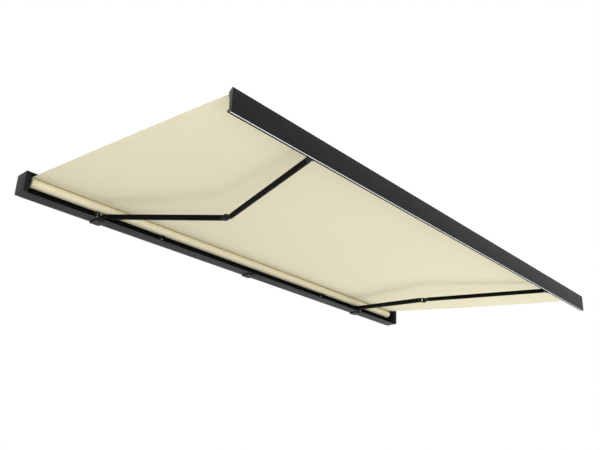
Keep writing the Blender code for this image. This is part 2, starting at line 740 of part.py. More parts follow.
def folding_arm(hand, side):
    """One arm: shoulder, upper arm, elbow, forearm and wrist, on their three axes."""
    swing = -OPEN_SWING if side > 0 else OPEN_SWING - math.pi
    shoulder = Vector((side * -SHOULDER_X, -SHOULDER_BACK, SHOULDER_Z))
    plane = hinge_plane(shoulder, side)
    base = empty(hand + "_shoulder_base", plane)
    shoulder_bracket(hand + "_shoulder_bracket", side, base)
    pin(hand + "_shoulder_pin", base, KNUCKLE_HALF + LUG_CLEAR + LUG_THICK)

    upper = empty(hand + "_shoulder_axis", plane @ Matrix.Rotation(swing, 4, "Z"))
    slope = math.atan2(ELBOW_DROP, ARM_FLAT)
    length = math.hypot(ELBOW_DROP, ARM_FLAT)
    line = tilted_frame(hand + "_upper_line", upper, Matrix.Rotation(slope, 4, "Y"))
    knuckle = arm_casting(hand + "_shoulder_knuckle", upper, line, 1, UPPER_TUBE, 0.0,
                          KNUCKLE_R, KNUCKLE_HALF)
    bore(knuckle, upper)
    arm_tube(hand + "_upper_tube", line, UPPER_TUBE, 0.0, length)
    pull_start = COLLAR_AT + COLLAR_LONG + SPIGOT_LONG + GAP
    spring_end = pull_start + SPRING_LONG
    turned(hand + "_arm_spring", [
        (pull_start, 0.006), (pull_start + 0.010, 0.006), (pull_start + 0.016, SPRING_R),
        (spring_end - 0.016, SPRING_R), (spring_end - 0.010, 0.006), (spring_end, 0.006),
    ], 12, "spring_steel", line)
    turned(hand + "_pull_rod", [(spring_end + GAP, ROD_R), (length - pull_start, ROD_R)], 8,
           "spring_steel", line)

    bend = -side * (math.pi - 2 * OPEN_SWING)
    to_elbow = Matrix.Translation((ARM_FLAT, -side * ARM_OFFSET, -ELBOW_DROP))
    elbow_base = tilted_frame(hand + "_elbow_base", upper, to_elbow)
    fork_line = tilted_frame(hand + "_fork_line", elbow_base, Matrix.Rotation(slope, 4, "Y"))
    fork = arm_casting(hand + "_elbow_fork", elbow_base, fork_line, -1, UPPER_TUBE,
                       side * ARM_OFFSET, KNUCKLE_R + 0.001, UPPER_TUBE[1] / 2)
    slot_half = ELBOW_TONGUE_HALF + LUG_CLEAR
    slot = prism("slot", [(-FORK_ROOT, -0.06), (0.06, -0.06), (0.06, 0.06), (-FORK_ROOT, 0.06)],
                 -slot_half, slot_half, "cast_black", elbow_base)
    combine(fork, slot, "DIFFERENCE")
    bore(fork, elbow_base)
    pin(hand + "_elbow_pin", elbow_base, UPPER_TUBE[1] / 2)

    elbow = tilted_frame(hand + "_elbow_axis", upper, to_elbow @ Matrix.Rotation(bend, 4, "Z"))
    climb = ELBOW_DROP + WRIST_RISE
    rise = -math.atan2(climb, ARM_FLAT)
    length = math.hypot(climb, ARM_FLAT)
    line = tilted_frame(hand + "_forearm_line", elbow, Matrix.Rotation(rise, 4, "Y"))
    offset = side * ARM_OFFSET
    tongue = arm_casting(hand + "_elbow_knuckle", elbow, line, 1, FOREARM_TUBE, offset,
                         KNUCKLE_R, ELBOW_TONGUE_HALF)
    bore(tongue, elbow)
    arm_tube(hand + "_forearm_tube", line, FOREARM_TUBE, offset, length)
    to_wrist = Matrix.Translation((ARM_FLAT, offset, climb))
    wrist_base = tilted_frame(hand + "_wrist_base", elbow, to_wrist)
    wrist_line = tilted_frame(hand + "_wrist_line", wrist_base, Matrix.Rotation(rise, 4, "Y"))
    end = arm_casting(hand + "_wrist_knuckle", wrist_base, wrist_line, -1, FOREARM_TUBE, 0.0,
                      KNUCKLE_R - 0.0015, KNUCKLE_HALF)
    bore(end, wrist_base)


def arm_rest(name, side):
    """Guide in the tray: a pad under the folded arm, a post behind and a finger above."""
    x = -side * ARM_REST_X
    share = (SHOULDER_X - ARM_REST_X) / ARM_FLAT
    fall = FOLDED_DROP * share
    half = UPPER_TUBE[1] / 2
    pad = -fall - half - ARM_REST_AIR
    finger = -fall + half + 0.0045
    back = UPPER_TUBE[0] / 2 + 0.0035

    def place(out, up):
        point = Vector((0.0, -SHOULDER_BACK, SHOULDER_Z)) + OUTWARD * out + ARM_UP * up
        return (point.y, point.z)

    foot = PLATE_WALL + GAP
    rear = place(-back - 0.020, 0.0)[0]
    outline = [
        (rear, foot),
        (rear, place(-back - 0.020, finger)[1]),
        place(-back - 0.014, finger + 0.0075),
        place(0.006, finger + 0.0075),
        place(0.010, finger + 0.004),
        place(0.010, finger),
        place(-back, finger),
        place(-back, pad),
        place(0.024, pad),
        (place(0.029, pad)[0], foot + 0.002),
        (place(0.029, pad)[0], foot),
    ]
    half_width = ARM_REST_WIDTH / 2
    return prism(name, outline, x - half_width, x + half_width, "black_plastic", axis="X")


def bar_point(back, up):
    """A point of the front bar's section: distance behind its face centre and height."""
    return (BAR_FACE_Y + back, BAR_CENTRE_Z + up)


def bottom_line():
    """Start, direction and inward normal of the bar's underside."""
    low = Vector((BAR_LEAN / 2, -BAR_HEIGHT / 2))
    tip = Vector((BAR_BOTTOM_DEPTH, -BAR_HEIGHT / 2 + 0.009))
    along = (tip - low).normalized()
    return low, tip, along, Vector((-along.y, along.x))


def strip_corners(clear):
    """Corners of the seat for the white strip, drawn in by a clearance."""
    low, tip, along, inward = bottom_line()
    start = low + along * (0.0018 + clear)
    stop = low + along * (0.0018 + STRIP_WIDTH - clear)
    return start, start + inward * (STRIP_THICK - clear), stop + inward * (STRIP_THICK - clear), stop


def bar_outline(with_details):
    """Section of the front bar; the details are its two grooves."""
    low, tip, along, inward = bottom_line()
    half = BAR_HEIGHT / 2
    flange_z = half - 0.025
    keder = (BAR_TOP_DEPTH - 0.0077, flange_z - 0.008)
    groove_r = KEDER_R + 0.0005
    outline = [tuple(low), (-BAR_LEAN / 2, half), (-BAR_LEAN / 2 + 0.0020, half)]
    outline.append((BAR_TOP_DEPTH, flange_z))
    outline.append((BAR_TOP_DEPTH - 0.0020, flange_z - 0.0024))
    if with_details:
        outline.append((keder[0] + groove_r + 0.0010, keder[1] + 0.0013))
        outline += arc(keder, groove_r, 20, 340, 10)
        outline.append((keder[0] + groove_r + 0.0010, keder[1] - 0.0013))
    outline.append((keder[0] + groove_r, keder[1] - groove_r - 0.0010))
    outline.append((BAR_WEB, keder[1] - groove_r - 0.0016))
    outline.append((BAR_WEB, -half + 0.024))
    outline.append((tip.x, tip.y + 0.0032))
    outline.append(tuple(tip))
    if with_details:
        seat = strip_corners(0.0)
        outline += [tuple(seat[3]), tuple(seat[2]), tuple(seat[1]), tuple(seat[0])]
    return [bar_point(a, b) for a, b in outline]


def front_bar():
    """Front profile with its caps, strip, keder and the two wrist brackets."""
    marker = empty("front_bar_base", Matrix.Identity(4))
    end = BAR_HALF - BAR_CAP - GAP
    profile = prism("front_profile", bar_outline(True), -end, end, "powder_coat", marker, axis="X")
    half = BAR_HEIGHT / 2
    room = [bar_point(a, b) for a, b in (
        (BAR_SKIN, -half + 0.027), (BAR_WEB - BAR_SKIN, -half + 0.027),
        (BAR_WEB - BAR_SKIN, half - 0.045), (BAR_SKIN, half - 0.045))]
    chamber = prism("chamber", room, -end - 0.01, end + 0.01, "powder_coat", marker, axis="X")
    combine(profile, chamber, "DIFFERENCE")
    for hand, side in (("left", 1), ("right", -1)):
        inner, outer = -side * (BAR_HALF - BAR_CAP), -side * BAR_HALF
        prism(hand + "_bar_cap", bar_outline(False), min(inner, outer), max(inner, outer),
              "black_plastic", marker, axis="X")
    low, tip, along, inward = bottom_line()
    a, b, c, d = strip_corners(GAP)
    strip = [bar_point(*(a - inward * 0.0006)), bar_point(*b), bar_point(*c),
             bar_point(*(d - inward * 0.0006))]
    prism("light_strip", strip, -end, end, "white_plastic", marker, axis="X")
    keder = bar_point(BAR_TOP_DEPTH - 0.0077, half - 0.033)
    turned("front_keder", [(-CANVAS_HALF, KEDER_R), (CANVAS_HALF, KEDER_R)], 8, "white_plastic",
           marker, axis="X", centre=keder)
    for hand, side in (("left", 1), ("right", -1)):
        wrist_bracket(hand, side, marker)


def wrist_bracket(hand, side, marker):
    """Casting on the back of the front bar whose lugs hold a forearm's wrist."""
    x = -side * WRIST_X
    frame = tilted_frame(hand + "_wrist_frame", marker, hinge_plane((x, WRIST_Y, WRIST_Z), side))
    web = BAR_FACE_Y + BAR_WEB + GAP
    inside = KNUCKLE_HALF + LUG_CLEAR
    face = rounded_box(0.094, 0.047, 0.006, (x, WRIST_Z - 0.003))
    body = prism(hand + "_wrist_bracket", face, web, web + FIXING_PLATE, "cast_black", marker, axis="Y")
    reach = (web + FIXING_PLATE / 2 - WRIST_Y) / math.cos(PITCH)
    plan = lug_outline(0.0175, reach, 0.034, 0.0190)
    for low, high in ((inside, inside + 0.005), (-inside - 0.005, -inside)):
        lug = prism("lug", plan, low, high, "cast_black", frame)
        combine(body, lug, "UNION")
    bore(body, frame)
    pin(hand + "_wrist_pin", frame, inside + 0.005)


def main():
    """Build the awning from the wall outwards."""
    clear_scene()
    back_profile()
    bottom_profile()
    hood()
    for hand, side in (("left", -1), ("right", 1)):
        end_cap(hand + "_end_cap", side)
        bearing_plate(hand + "_bearing_plate", side)
    for hand, place in (("left", -BRACKET_SPACING), ("middle", 0.0), ("right", BRACKET_SPACING)):
        wall_bracket(hand + "_wall_bracket", place)
    roller()
    canvas_sheet()
    for hand, side in (("left", 1), ("right", -1)):
        folding_arm(hand, side)
        arm_rest(hand + "_arm_rest", side)
    front_bar()


main()
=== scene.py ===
"""Looks of a full-cassette canvas awning, drawn right out on its folding arms.

Metres, +Z up, +X along the cassette, the wall is the plane y = 0 and the awning opens along -Y.
Each sub-assembly is a class that shapes its pieces as numpy surfaces, gives them a finish and
lets them ride on their bodies.
"""

import logging
import math
from dataclasses import dataclass, replace
from enum import Enum

import bmesh
import bpy
import numpy as np
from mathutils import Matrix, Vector
from numpy.typing import NDArray


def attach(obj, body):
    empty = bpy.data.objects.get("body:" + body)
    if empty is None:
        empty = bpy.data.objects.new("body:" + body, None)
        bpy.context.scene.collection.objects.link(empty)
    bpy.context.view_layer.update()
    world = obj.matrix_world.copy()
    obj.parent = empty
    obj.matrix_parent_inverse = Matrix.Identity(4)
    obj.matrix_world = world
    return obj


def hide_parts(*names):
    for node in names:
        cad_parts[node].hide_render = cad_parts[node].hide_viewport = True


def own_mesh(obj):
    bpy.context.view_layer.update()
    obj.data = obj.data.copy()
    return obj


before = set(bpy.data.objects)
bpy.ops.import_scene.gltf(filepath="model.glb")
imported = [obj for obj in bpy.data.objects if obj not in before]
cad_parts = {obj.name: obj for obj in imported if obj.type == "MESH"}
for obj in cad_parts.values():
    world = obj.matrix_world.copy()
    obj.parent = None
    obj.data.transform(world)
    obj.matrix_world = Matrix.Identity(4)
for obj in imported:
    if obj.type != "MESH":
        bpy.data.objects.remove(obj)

Array = NDArray[np.float64]
Triple = tuple[float, float, float]
log = logging.getLogger("awning")
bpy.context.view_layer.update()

# A screw's seat lies this far off the face it stands on, so that the two never fall together
SEAT_SHIFT = 0.00002


class Hand(Enum):
    """Which side of the awning a piece is on, seen by someone who faces the wall."""

    LEFT = ("left", -1.0)
    RIGHT = ("right", 1.0)

    @property
    def label(self) -> str:
        """First word of the names on this side."""
        return self.value[0]

    @property
    def sign(self) -> float:
        """Sign of x on this side."""
        return self.value[1]


class Axis(Enum):
    """Axes that a turn can go round."""

    X = 0
    Y = 1
    Z = 2


@dataclass(frozen=True)
class Sizes:
    """Lengths that more than one sub-assembly needs, in metres and radians."""

    width: float = 5.0
    height: float = 0.168
    depth: float = 0.148
    mouth_lean: float = 0.007
    back: float = -0.012
    wall: float = 0.0028
    gap: float = 0.0003
    pitch: float = math.radians(6.3)
    cap_thick: float = 0.039
    roller_back: float = 0.072
    roller_z: float = 0.1205
    canvas_half: float = 2.42
    roll_r: float = 0.041
    canvas_thick: float = 0.0012
    shoulder_x: float = 1.75
    shoulder_back: float = 0.090
    shoulder_z: float = 0.047
    arm_reach: float = 1.218
    arm_offset: float = 0.021
    swing: float = math.radians(72.5)
    hinge_roll: float = math.radians(4.0)
    folded_drop: float = 0.015
    wrist_rise: float = 0.016
    wrist_to_face: float = 0.059
    bar_height: float = 0.157
    bar_lean: float = 0.0066
    bar_web: float = 0.018
    bar_above_wrist: float = 0.0269

    @property
    def cap_inner(self) -> float:
        """Distance from the middle to the inner face of an end cap."""
        return self.width / 2 - self.cap_thick

    @property
    def arm_flat(self) -> float:
        """Length of an arm segment along its tube."""
        return math.sqrt(self.arm_reach**2 - self.arm_offset**2)

    @property
    def elbow_drop(self) -> float:
        """Distance along the hinge axis from shoulder to elbow."""
        rise = self.arm_flat * math.sin(self.hinge_roll)
        return (rise + self.folded_drop) / math.cos(self.hinge_roll)

    @property
    def outward(self) -> Array:
        """Direction in which the front bar travels."""
        return np.array([0.0, -math.cos(self.pitch), -math.sin(self.pitch)])

    @property
    def arm_up(self) -> Array:
        """Direction square to the fall of the awning."""
        return np.array([0.0, -math.sin(self.pitch), math.cos(self.pitch)])

    @property
    def span(self) -> float:
        """Distance from shoulder to wrist with the awning out."""
        along = self.arm_flat * math.sin(self.swing)
        return 2 * (along + self.arm_offset * math.cos(self.swing))

    @property
    def travel(self) -> float:
        """How far the front bar moves from out to folded."""
        return self.span - 2 * self.arm_offset

    @property
    def wrist(self) -> Array:
        """Depth and height of the wrist pivots.

        Returns:
            The point (0, y, z).
        """
        start = np.array([0.0, -self.shoulder_back, self.shoulder_z])
        lift = self.wrist_rise * math.cos(self.hinge_roll)
        return start + self.outward * self.span + self.arm_up * lift

    @property
    def wrist_x(self) -> float:
        """Distance of the wrist pivots from the middle."""
        return self.shoulder_x + self.wrist_rise * math.sin(self.hinge_roll)

    @property
    def bar_z(self) -> float:
        """Height of the middle of the front bar."""
        return float(self.wrist[2]) + self.bar_above_wrist

    @property
    def bar_face(self) -> float:
        """Depth of the front bar's outer face at mid height."""
        return float(self.wrist[1]) - self.wrist_to_face


SIZES = Sizes()


def unit(vectors: Array) -> Array:
    """Vectors divided by their lengths."""
    return vectors / np.linalg.norm(vectors, axis=-1, keepdims=True)


def filleted(corners: Array, radius: float | Array, steps: int = 4) -> Array:
    """Round the corners of a closed polygon.

    Each corner becomes an arc that touches both of its edges: its centre lies on the bisector
    at radius over the sine of half the corner's angle, and its points are directions mixed
    evenly from one touching point to the other.

    Args:
        corners: the polygon's corners, one row each.
        radius: one radius, or one for each corner.
        steps: pieces that each arc is cut into.

    Returns:
        The points of the rounded outline, one row each.
    """
    size = np.broadcast_to(np.asarray(radius, float), len(corners))[:, None]
    before = unit(np.roll(corners, 1, axis=0) - corners)
    after = unit(np.roll(corners, -1, axis=0) - corners)
    half = 0.5 * np.arccos(np.clip(np.sum(before * after, axis=1, keepdims=True), -1, 1))
    middle = corners + unit(before + after) * (size / np.sin(half))
    start = corners + before * (size / np.tan(half)) - middle
    end = corners + after * (size / np.tan(half)) - middle
    share = np.linspace(0, 1, steps + 1)[None, :, None]
    aim = unit(start[:, None] * (1 - share) + end[:, None] * share) * size[:, None]
    return (middle[:, None] + aim).reshape(-1, 2)


def box_outline(width: float, height: float, radius: float, steps: int) -> Array:
    """Rectangle about the origin whose round corners are cut into steps."""
    signs = np.array([[-1, -1], [1, -1], [1, 1], [-1, 1]])
    return filleted(signs * np.array([width, height]) / 2, radius, steps)


def ring(radius: float, steps: int) -> Array:
    """Evenly spaced points of a circle about the origin."""
    angle = np.linspace(0, 2 * math.pi, steps, endpoint=False)
    return radius * np.stack([np.cos(angle), np.sin(angle)], axis=1)


def drawn_in(outline: Array, distance: float) -> Array:
    """Outline moved inwards along its own normals.

    The normal at a point is square to the line between its two neighbours, and the turning
    sense of the outline, from its signed area, says which side is inside.

    Args:
        outline: points of a closed outline, one row each.
        distance: how far each point moves.

    Returns:
        The moved points.
    """
    ahead = np.roll(outline, -1, axis=0)
    behind = np.roll(outline, 1, axis=0)
    turn = np.sign(np.sum(outline[:, 0] * ahead[:, 1] - ahead[:, 0] * outline[:, 1]))
    along = unit(ahead - behind + 1e-12)
    return outline + turn * distance * np.stack([-along[:, 1], along[:, 0]], axis=1)


def stations(outline: Array, places: Array, insets: Array) -> Array:
    """Rings of one (y, z) outline along X, each drawn in by its own inset.

    Args:
        outline: points of the outline, one row each.
        places: x of each ring.
        insets: how far each ring is drawn in.

    Returns:
        Points as (ring, point, 3).
    """
    rings = np.stack([drawn_in(outline, inset) for inset in insets])
    along = np.broadcast_to(np.asarray(places, float)[:, None], rings.shape[:2])
    return np.insert(rings, 0, along, axis=2)


def moved(points: Array, matrix: Array) -> Array:
    """Points carried by a 4 by 4 matrix."""
    return points @ matrix[:3, :3].T + matrix[:3, 3]


def turned_by(angle: float, axis: Axis) -> Array:
    """Turn about an axis by the right-hand rule.

    Args:
        angle: the turn in radians.
        axis: the axis that it goes round.

    Returns:
        A 4 by 4 matrix.
    """
    first, second = (axis.value + 1) % 3, (axis.value + 2) % 3
    matrix = np.eye(4)
    matrix[first, first] = matrix[second, second] = math.cos(angle)
    matrix[first, second] = -math.sin(angle)
    matrix[second, first] = math.sin(angle)
    return matrix


def shifted_by(x: float, y: float, z: float) -> Array:
    """Shift by three lengths.

    Args:
        x: shift along the cassette.
        y: shift towards the wall.
        z: shift upwards.

    Returns:
        A 4 by 4 matrix.
    """
    matrix = np.eye(4)
    matrix[:3, 3] = (x, y, z)
    return matrix


def grid_faces(rows: int, columns: int, wrap_rows: bool) -> list[list[int]]:
    """Cells between the points of a grid whose last column joins the first.

    Args:
        rows: number of rings.
        columns: number of points in a ring.
        wrap_rows: whether the last ring joins the first too.

    Returns:
        The four corner indices of each cell.
    """
    index = np.arange(rows * columns).reshape(rows, columns)
    if wrap_rows:
        index = np.vstack([index, index[:1]])
    index = np.hstack([index, index[:, :1]])
    corners = [index[:-1, :-1], index[:-1, 1:], index[1:, 1:], index[1:, :-1]]
    return np.stack(corners, axis=-1).reshape(-1, 4).tolist()


def make_piece(name: str, points: Array, faces: list[list[int]], sharp: float = 35.0) -> bpy.types.Object:
    """Put points and faces into a new object at the origin.

    Args:
        name: the piece's name.
        points: points in the row frame, one row each.
        faces: corner indices of each face.
        sharp: angle in degrees above which an edge stays sharp.

    Returns:
        The object, shaded smooth, with its faces pointing outwards.
    """
    mesh = bpy.data.meshes.new(name)
    mesh.from_pydata(points.tolist(), [], faces)
    shape = bmesh.new()
    shape.from_mesh(mesh)
    bmesh.ops.recalc_face_normals(shape, faces=shape.faces)
    shape.to_mesh(mesh)
    shape.free()
    mesh.shade_smooth()
    mesh.set_sharp_from_angle(angle=math.radians(sharp))
    piece = bpy.data.objects.new(name, mesh)
    bpy.context.scene.collection.objects.link(piece)
    return piece


def loft(name: str, *solids: Array, sharp: float = 35.0) -> bpy.types.Object:
    """Skin over stacks of rings, each stack closed by a flat face at both ends.

    Args:
        name: the piece's name.
        solids: one stack of rings, or several, such as the screws of one bracket.
        sharp: angle in degrees above which an edge stays sharp.

    Returns:
        The piece.
    """
    faces, start = [], 0
    for rings in solids:
        count, around = rings.shape[:2]
        ends = [list(range(around)), list(range((count - 1) * around, count * around))]
        faces += [[start + index for index in face] for face in grid_faces(count, around, False) + ends]
        start += count * around
    return make_piece(name, np.vstack([rings.reshape(-1, 3) for rings in solids]), faces, sharp)


def tunnel(name: str, rings: Array) -> bpy.types.Object:
    """Skin over rings whose last ring joins the first, such as a tube with a bore."""
    return make_piece(name, rings.reshape(-1, 3), grid_faces(*rings.shape[:2], True))


def lathe(profile: Array, matrix: Array, steps: int = 40) -> Array:
    """Rings of a turned piece.

    Each row of the profile becomes a circle about the local Z axis, which the matrix then
    puts in place.

    Args:
        profile: rows of (radius, height).
        matrix: frame of the piece.
        steps: points round each circle.

    Returns:
        Points as (ring, point, 3).
    """
    flat = profile[:, 0, None, None] * ring(1.0, steps)[None]
    lift = np.broadcast_to(profile[:, 1, None, None], flat.shape[:2] + (1,))
    return moved(np.concatenate([flat, lift], axis=2), matrix)


def softened(node: str, width: float, name: str, segments: int = 2) -> bpy.types.Object:
    """Copy of a cast or moulded node with its seams merged and its edges rounded.

    Args:
        node: the node whose form is taken.
        width: how far the rounding reaches from each edge.
        name: name of the new piece.
        segments: faces across each rounded edge.

    Returns:
        The new piece with a live bevel.
    """
    shape = bmesh.new()
    shape.from_mesh(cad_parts[node].data)
    bmesh.ops.remove_doubles(shape, verts=shape.verts, dist=0.00001)
    bmesh.ops.dissolve_limit(shape, angle_limit=math.radians(0.7), verts=shape.verts, edges=shape.edges)
    mesh = bpy.data.meshes.new(name)
    shape.to_mesh(mesh)
    shape.free()
    mesh.shade_smooth()
    mesh.set_sharp_from_angle(angle=math.radians(50))
    piece = bpy.data.objects.new(name, mesh)
    bpy.context.scene.collection.objects.link(piece)
    bevel = piece.modifiers.new("soft_edges", "BEVEL")
    bevel.width = width
    bevel.segments = segments
    bevel.limit_method = "ANGLE"
    bevel.angle_limit = math.radians(40)
    return piece


@dataclass(frozen=True)
class SocketScrew:
    """Cap screw with a hexagon socket.

    Its side and chamfer are circles about its axis. The socket's radius at an angle is half
    its width across the flats over the cosine of the angle to the nearest flat. The chamfer
    is a share of the radius, and its crown a share of the chamfer.
    """

    radius: float
    height: float
    socket: float
    depth: float
    chamfer: float = 0.14
    crown: float = 0.3
    lead_in: float = 1.06
    lead_depth: float = 0.0002
    steps: int = 30

    def rings(self, matrix: Array) -> Array:
        """Rings of the head.

        Args:
            matrix: its frame, with the seat in the local plane z = 0 and the top along +Z.

        Returns:
            Points as (ring, point, 3).
        """
        bevel = self.radius * self.chamfer
        angle = np.linspace(0, 2 * math.pi, self.steps, endpoint=False)
        hexagon = self.socket / np.cos((angle + math.pi / 6) % (math.pi / 3) - math.pi / 6)
        outside = self.radius - bevel * np.array([0.0, 0.0, self.crown, 1.0])
        inside = np.array([self.lead_in, 1.0, 1.0])
        radii = np.concatenate([outside[:, None] * np.ones_like(angle), inside[:, None] * hexagon])
        heights = self.height - np.array([self.height, bevel, bevel * self.crown, 0.0, 0.0,
                                          self.lead_depth, self.depth])
        lift = np.broadcast_to(heights[:, None], radii.shape)
        return moved(np.stack([radii * np.cos(angle), radii * np.sin(angle), lift], axis=2), matrix)


class Graph:
    """Places and joins the nodes of one shader tree."""

    def __init__(self, tree: bpy.types.NodeTree) -> None:
        """Take the tree to work in."""
        self.tree = tree

    def feed(self, node: bpy.types.Node, inputs: dict) -> None:
        """Give a node its inputs.

        Args:
            node: the node.
            inputs: values, or sockets to join, by the input's name or number.
        """
        for key, value in inputs.items():
            if isinstance(value, bpy.types.NodeSocket):
                self.tree.links.new(value, node.inputs[key])
            else:
                node.inputs[key].default_value = value

    def add(self, kind: str, inputs: dict | None = None, **settings: object) -> bpy.types.Node:
        """Place a node.

        Args:
            kind: the node's type.
            inputs: values, or sockets to join, for its inputs by name or number.
            settings: values of the node's own properties.

        Returns:
            The node.
        """
        made = self.tree.nodes.new(kind)
        for key, value in settings.items():
            setattr(made, key, value)
        self.feed(made, inputs or {})
        return made

    def calc(self, operation: str, *values: object) -> bpy.types.NodeSocket:
        """Result socket of a math node with these values or sockets."""
        return self.add("ShaderNodeMath", dict(enumerate(values)), operation=operation).outputs[0]

    def spread(self, value: object, low: float, high: float, start: float = 0.0,
               end: float = 1.0) -> bpy.types.NodeSocket:
        """Value mapped from start..end to low..high and kept between them."""
        given = {"Value": value, "From Min": start, "From Max": end, "To Min": low, "To Max": high}
        return self.add("ShaderNodeMapRange", given).outputs[0]

    def mixed(self, mask: bpy.types.NodeSocket, first: object, second: object) -> bpy.types.NodeSocket:
        """Colour mixed by a mask from the first to the second, each a colour or a socket."""
        return self.add("ShaderNodeMix", {0: mask, 6: first, 7: second}, data_type="RGBA").outputs[2]

    def noise(self, place: bpy.types.NodeSocket, scale: object, **inputs: float) -> bpy.types.NodeSocket:
        """Value socket of a noise texture at a place."""
        return self.add("ShaderNodeTexNoise", {"Vector": place, "Scale": scale, **inputs}).outputs[0]

    def bump(self, height: bpy.types.NodeSocket, distance: float, strength: float) -> bpy.types.NodeSocket:
        """Normal socket of a bump from a height."""
        given = {"Height": height, "Distance": distance, "Strength": strength}
        return self.add("ShaderNodeBump", given).outputs[0]


FLOAT, VECTOR = "NodeSocketFloat", "NodeSocketVector"

# Noise lies mostly between these values, and is stretched from there to 0..1
NOISE_CORE = (0.35, 0.65)
NOISE_WIDE = (0.30, 0.70)


def new_group(name: str, inputs: dict[str, tuple[str, float | None]],
              outputs: dict[str, str]) -> tuple[bpy.types.NodeTree, Graph, bpy.types.Node, bpy.types.Node]:
    """Start a shader node group.

    Args:
        name: the group's name.
        inputs: name to (socket kind, default or None).
        outputs: name to socket kind.

    Returns:
        The tree, its graph, and its input and output nodes.
    """
    tree = bpy.data.node_groups.new(name, "ShaderNodeTree")
    for label, (kind, default) in inputs.items():
        socket = tree.interface.new_socket(name=label, in_out="INPUT", socket_type=kind)
        if default is not None:
            socket.default_value = default
    for label, kind in outputs.items():
        tree.interface.new_socket(name=label, in_out="OUTPUT", socket_type=kind)
    graph = Graph(tree)
    return tree, graph, graph.add("NodeGroupInput"), graph.add("NodeGroupOutput")


def grain_group() -> bpy.types.NodeTree:
    """Fine pitted grain of a coat: two sizes of noise, as a height and a speckle.

    Returns:
        The group, built once.
    """
    found = bpy.data.node_groups.get("surface_grain")
    if found:
        return found
    coarse_share = 0.31
    inputs = {"Vector": (VECTOR, None), "Size": (FLOAT, 0.0006)}
    tree, graph, start, end = new_group("surface_grain", inputs, {"Height": FLOAT, "Speckle": FLOAT})
    scale = graph.calc("DIVIDE", 1.0, start.outputs["Size"])
    fine = graph.noise(start.outputs["Vector"], scale, Detail=2.0, Roughness=0.6)
    coarse = graph.noise(start.outputs["Vector"], graph.calc("MULTIPLY", scale, coarse_share), Detail=1.0)
    graph.feed(end, {"Height": graph.calc("MULTIPLY_ADD", coarse, 0.5, fine),
                     "Speckle": graph.spread(fine, 0.0, 1.0, *NOISE_CORE)})
    return tree


def drift_group() -> bpy.types.NodeTree:
    """Slow change over a surface, such as handling and uneven coating, from 0 to 1.

    Returns:
        The group, built once.
    """
    found = bpy.data.node_groups.get("slow_drift")
    if found:
        return found
    inputs = {"Vector": (VECTOR, None), "Size": (FLOAT, 0.25)}
    tree, graph, start, end = new_group("slow_drift", inputs, {"Value": FLOAT})
    scale = graph.calc("DIVIDE", 1.0, start.outputs["Size"])
    noise = graph.noise(start.outputs["Vector"], scale, Detail=4.0, Roughness=0.55)
    graph.feed(end, {"Value": graph.spread(noise, 0.0, 1.0, *NOISE_WIDE)})
    return tree


def edge_group() -> bpy.types.NodeTree:
    """Mask of the edges: how far the normal turns when it is rounded over a small radius.

    Returns:
        The group, built once.
    """
    found = bpy.data.node_groups.get("edge_mask")
    if found:
        return found
    least, most = 0.04, 0.30
    tree, graph, start, end = new_group("edge_mask", {"Radius": (FLOAT, 0.0015)}, {"Mask": FLOAT})
    rounded = graph.add("ShaderNodeBevel", {"Radius": start.outputs["Radius"]}, samples=4)
    flat = graph.add("ShaderNodeNewGeometry")
    facing = graph.add("ShaderNodeVectorMath", {0: rounded.outputs[0], 1: flat.outputs["Normal"]},
                       operation="DOT_PRODUCT")
    turned = graph.calc("SUBTRACT", 1.0, facing.outputs["Value"])
    graph.feed(end, {"Mask": graph.spread(turned, 0.0, 1.0, least, most)})
    return tree


def weave_group() -> bpy.types.NodeTree:
    """Plain weave in the cloth's own plane.

    Each yarn's crown is the absolute sine across it. The parity of the two yarn numbers says
    which yarn lies on top, and noise stretched along the yarns varies their tone.

    Returns:
        The group, built once.
    """
    found = bpy.data.node_groups.get("plain_weave")
    if found:
        return found
    dipped, stretch = 0.55, 0.012
    inputs = {"Vector": (VECTOR, None), "Yarn": (FLOAT, 0.0006)}
    outputs = {"Height": FLOAT, "Gap_Shade": FLOAT, "Slub": FLOAT}
    tree, graph, start, end = new_group("plain_weave", inputs, outputs)
    place = graph.add("ShaderNodeSeparateXYZ", {0: start.outputs["Vector"]})
    across, along = [graph.calc("DIVIDE", place.outputs[side], start.outputs["Yarn"]) for side in (0, 1)]
    crown = [graph.calc("ABSOLUTE", graph.calc("SINE", graph.calc("MULTIPLY", side, math.pi)))
             for side in (across, along)]
    numbers = graph.calc("ADD", graph.calc("FLOOR", across), graph.calc("FLOOR", along))
    over = graph.calc("FLOORED_MODULO", numbers, 2.0)
    under = graph.calc("SUBTRACT", 1.0, over)
    warp = graph.calc("MULTIPLY", crown[0], graph.spread(over, dipped, 1.0))
    weft = graph.calc("MULTIPLY", crown[1], graph.spread(under, dipped, 1.0))
    height = graph.calc("MAXIMUM", warp, weft)
    streaks = []
    for x_share, y_share in ((1.0, stretch), (stretch, 1.0)):
        stretched = graph.add("ShaderNodeCombineXYZ", {0: graph.calc("MULTIPLY", across, x_share),
                                                       1: graph.calc("MULTIPLY", along, y_share)})
        streaks.append(graph.noise(stretched.outputs[0], 0.9, Detail=1.0))
    slub = graph.calc("MULTIPLY", graph.calc("ADD", *streaks), 0.5)
    # The gap output is the mask for painted shade in the hollows between yarns
    graph.feed(end, {"Height": height, "Gap_Shade": graph.calc("SUBTRACT", 1.0, height),
                     "Slub": graph.spread(slub, 0.0, 1.0, *NOISE_CORE)})
    return tree


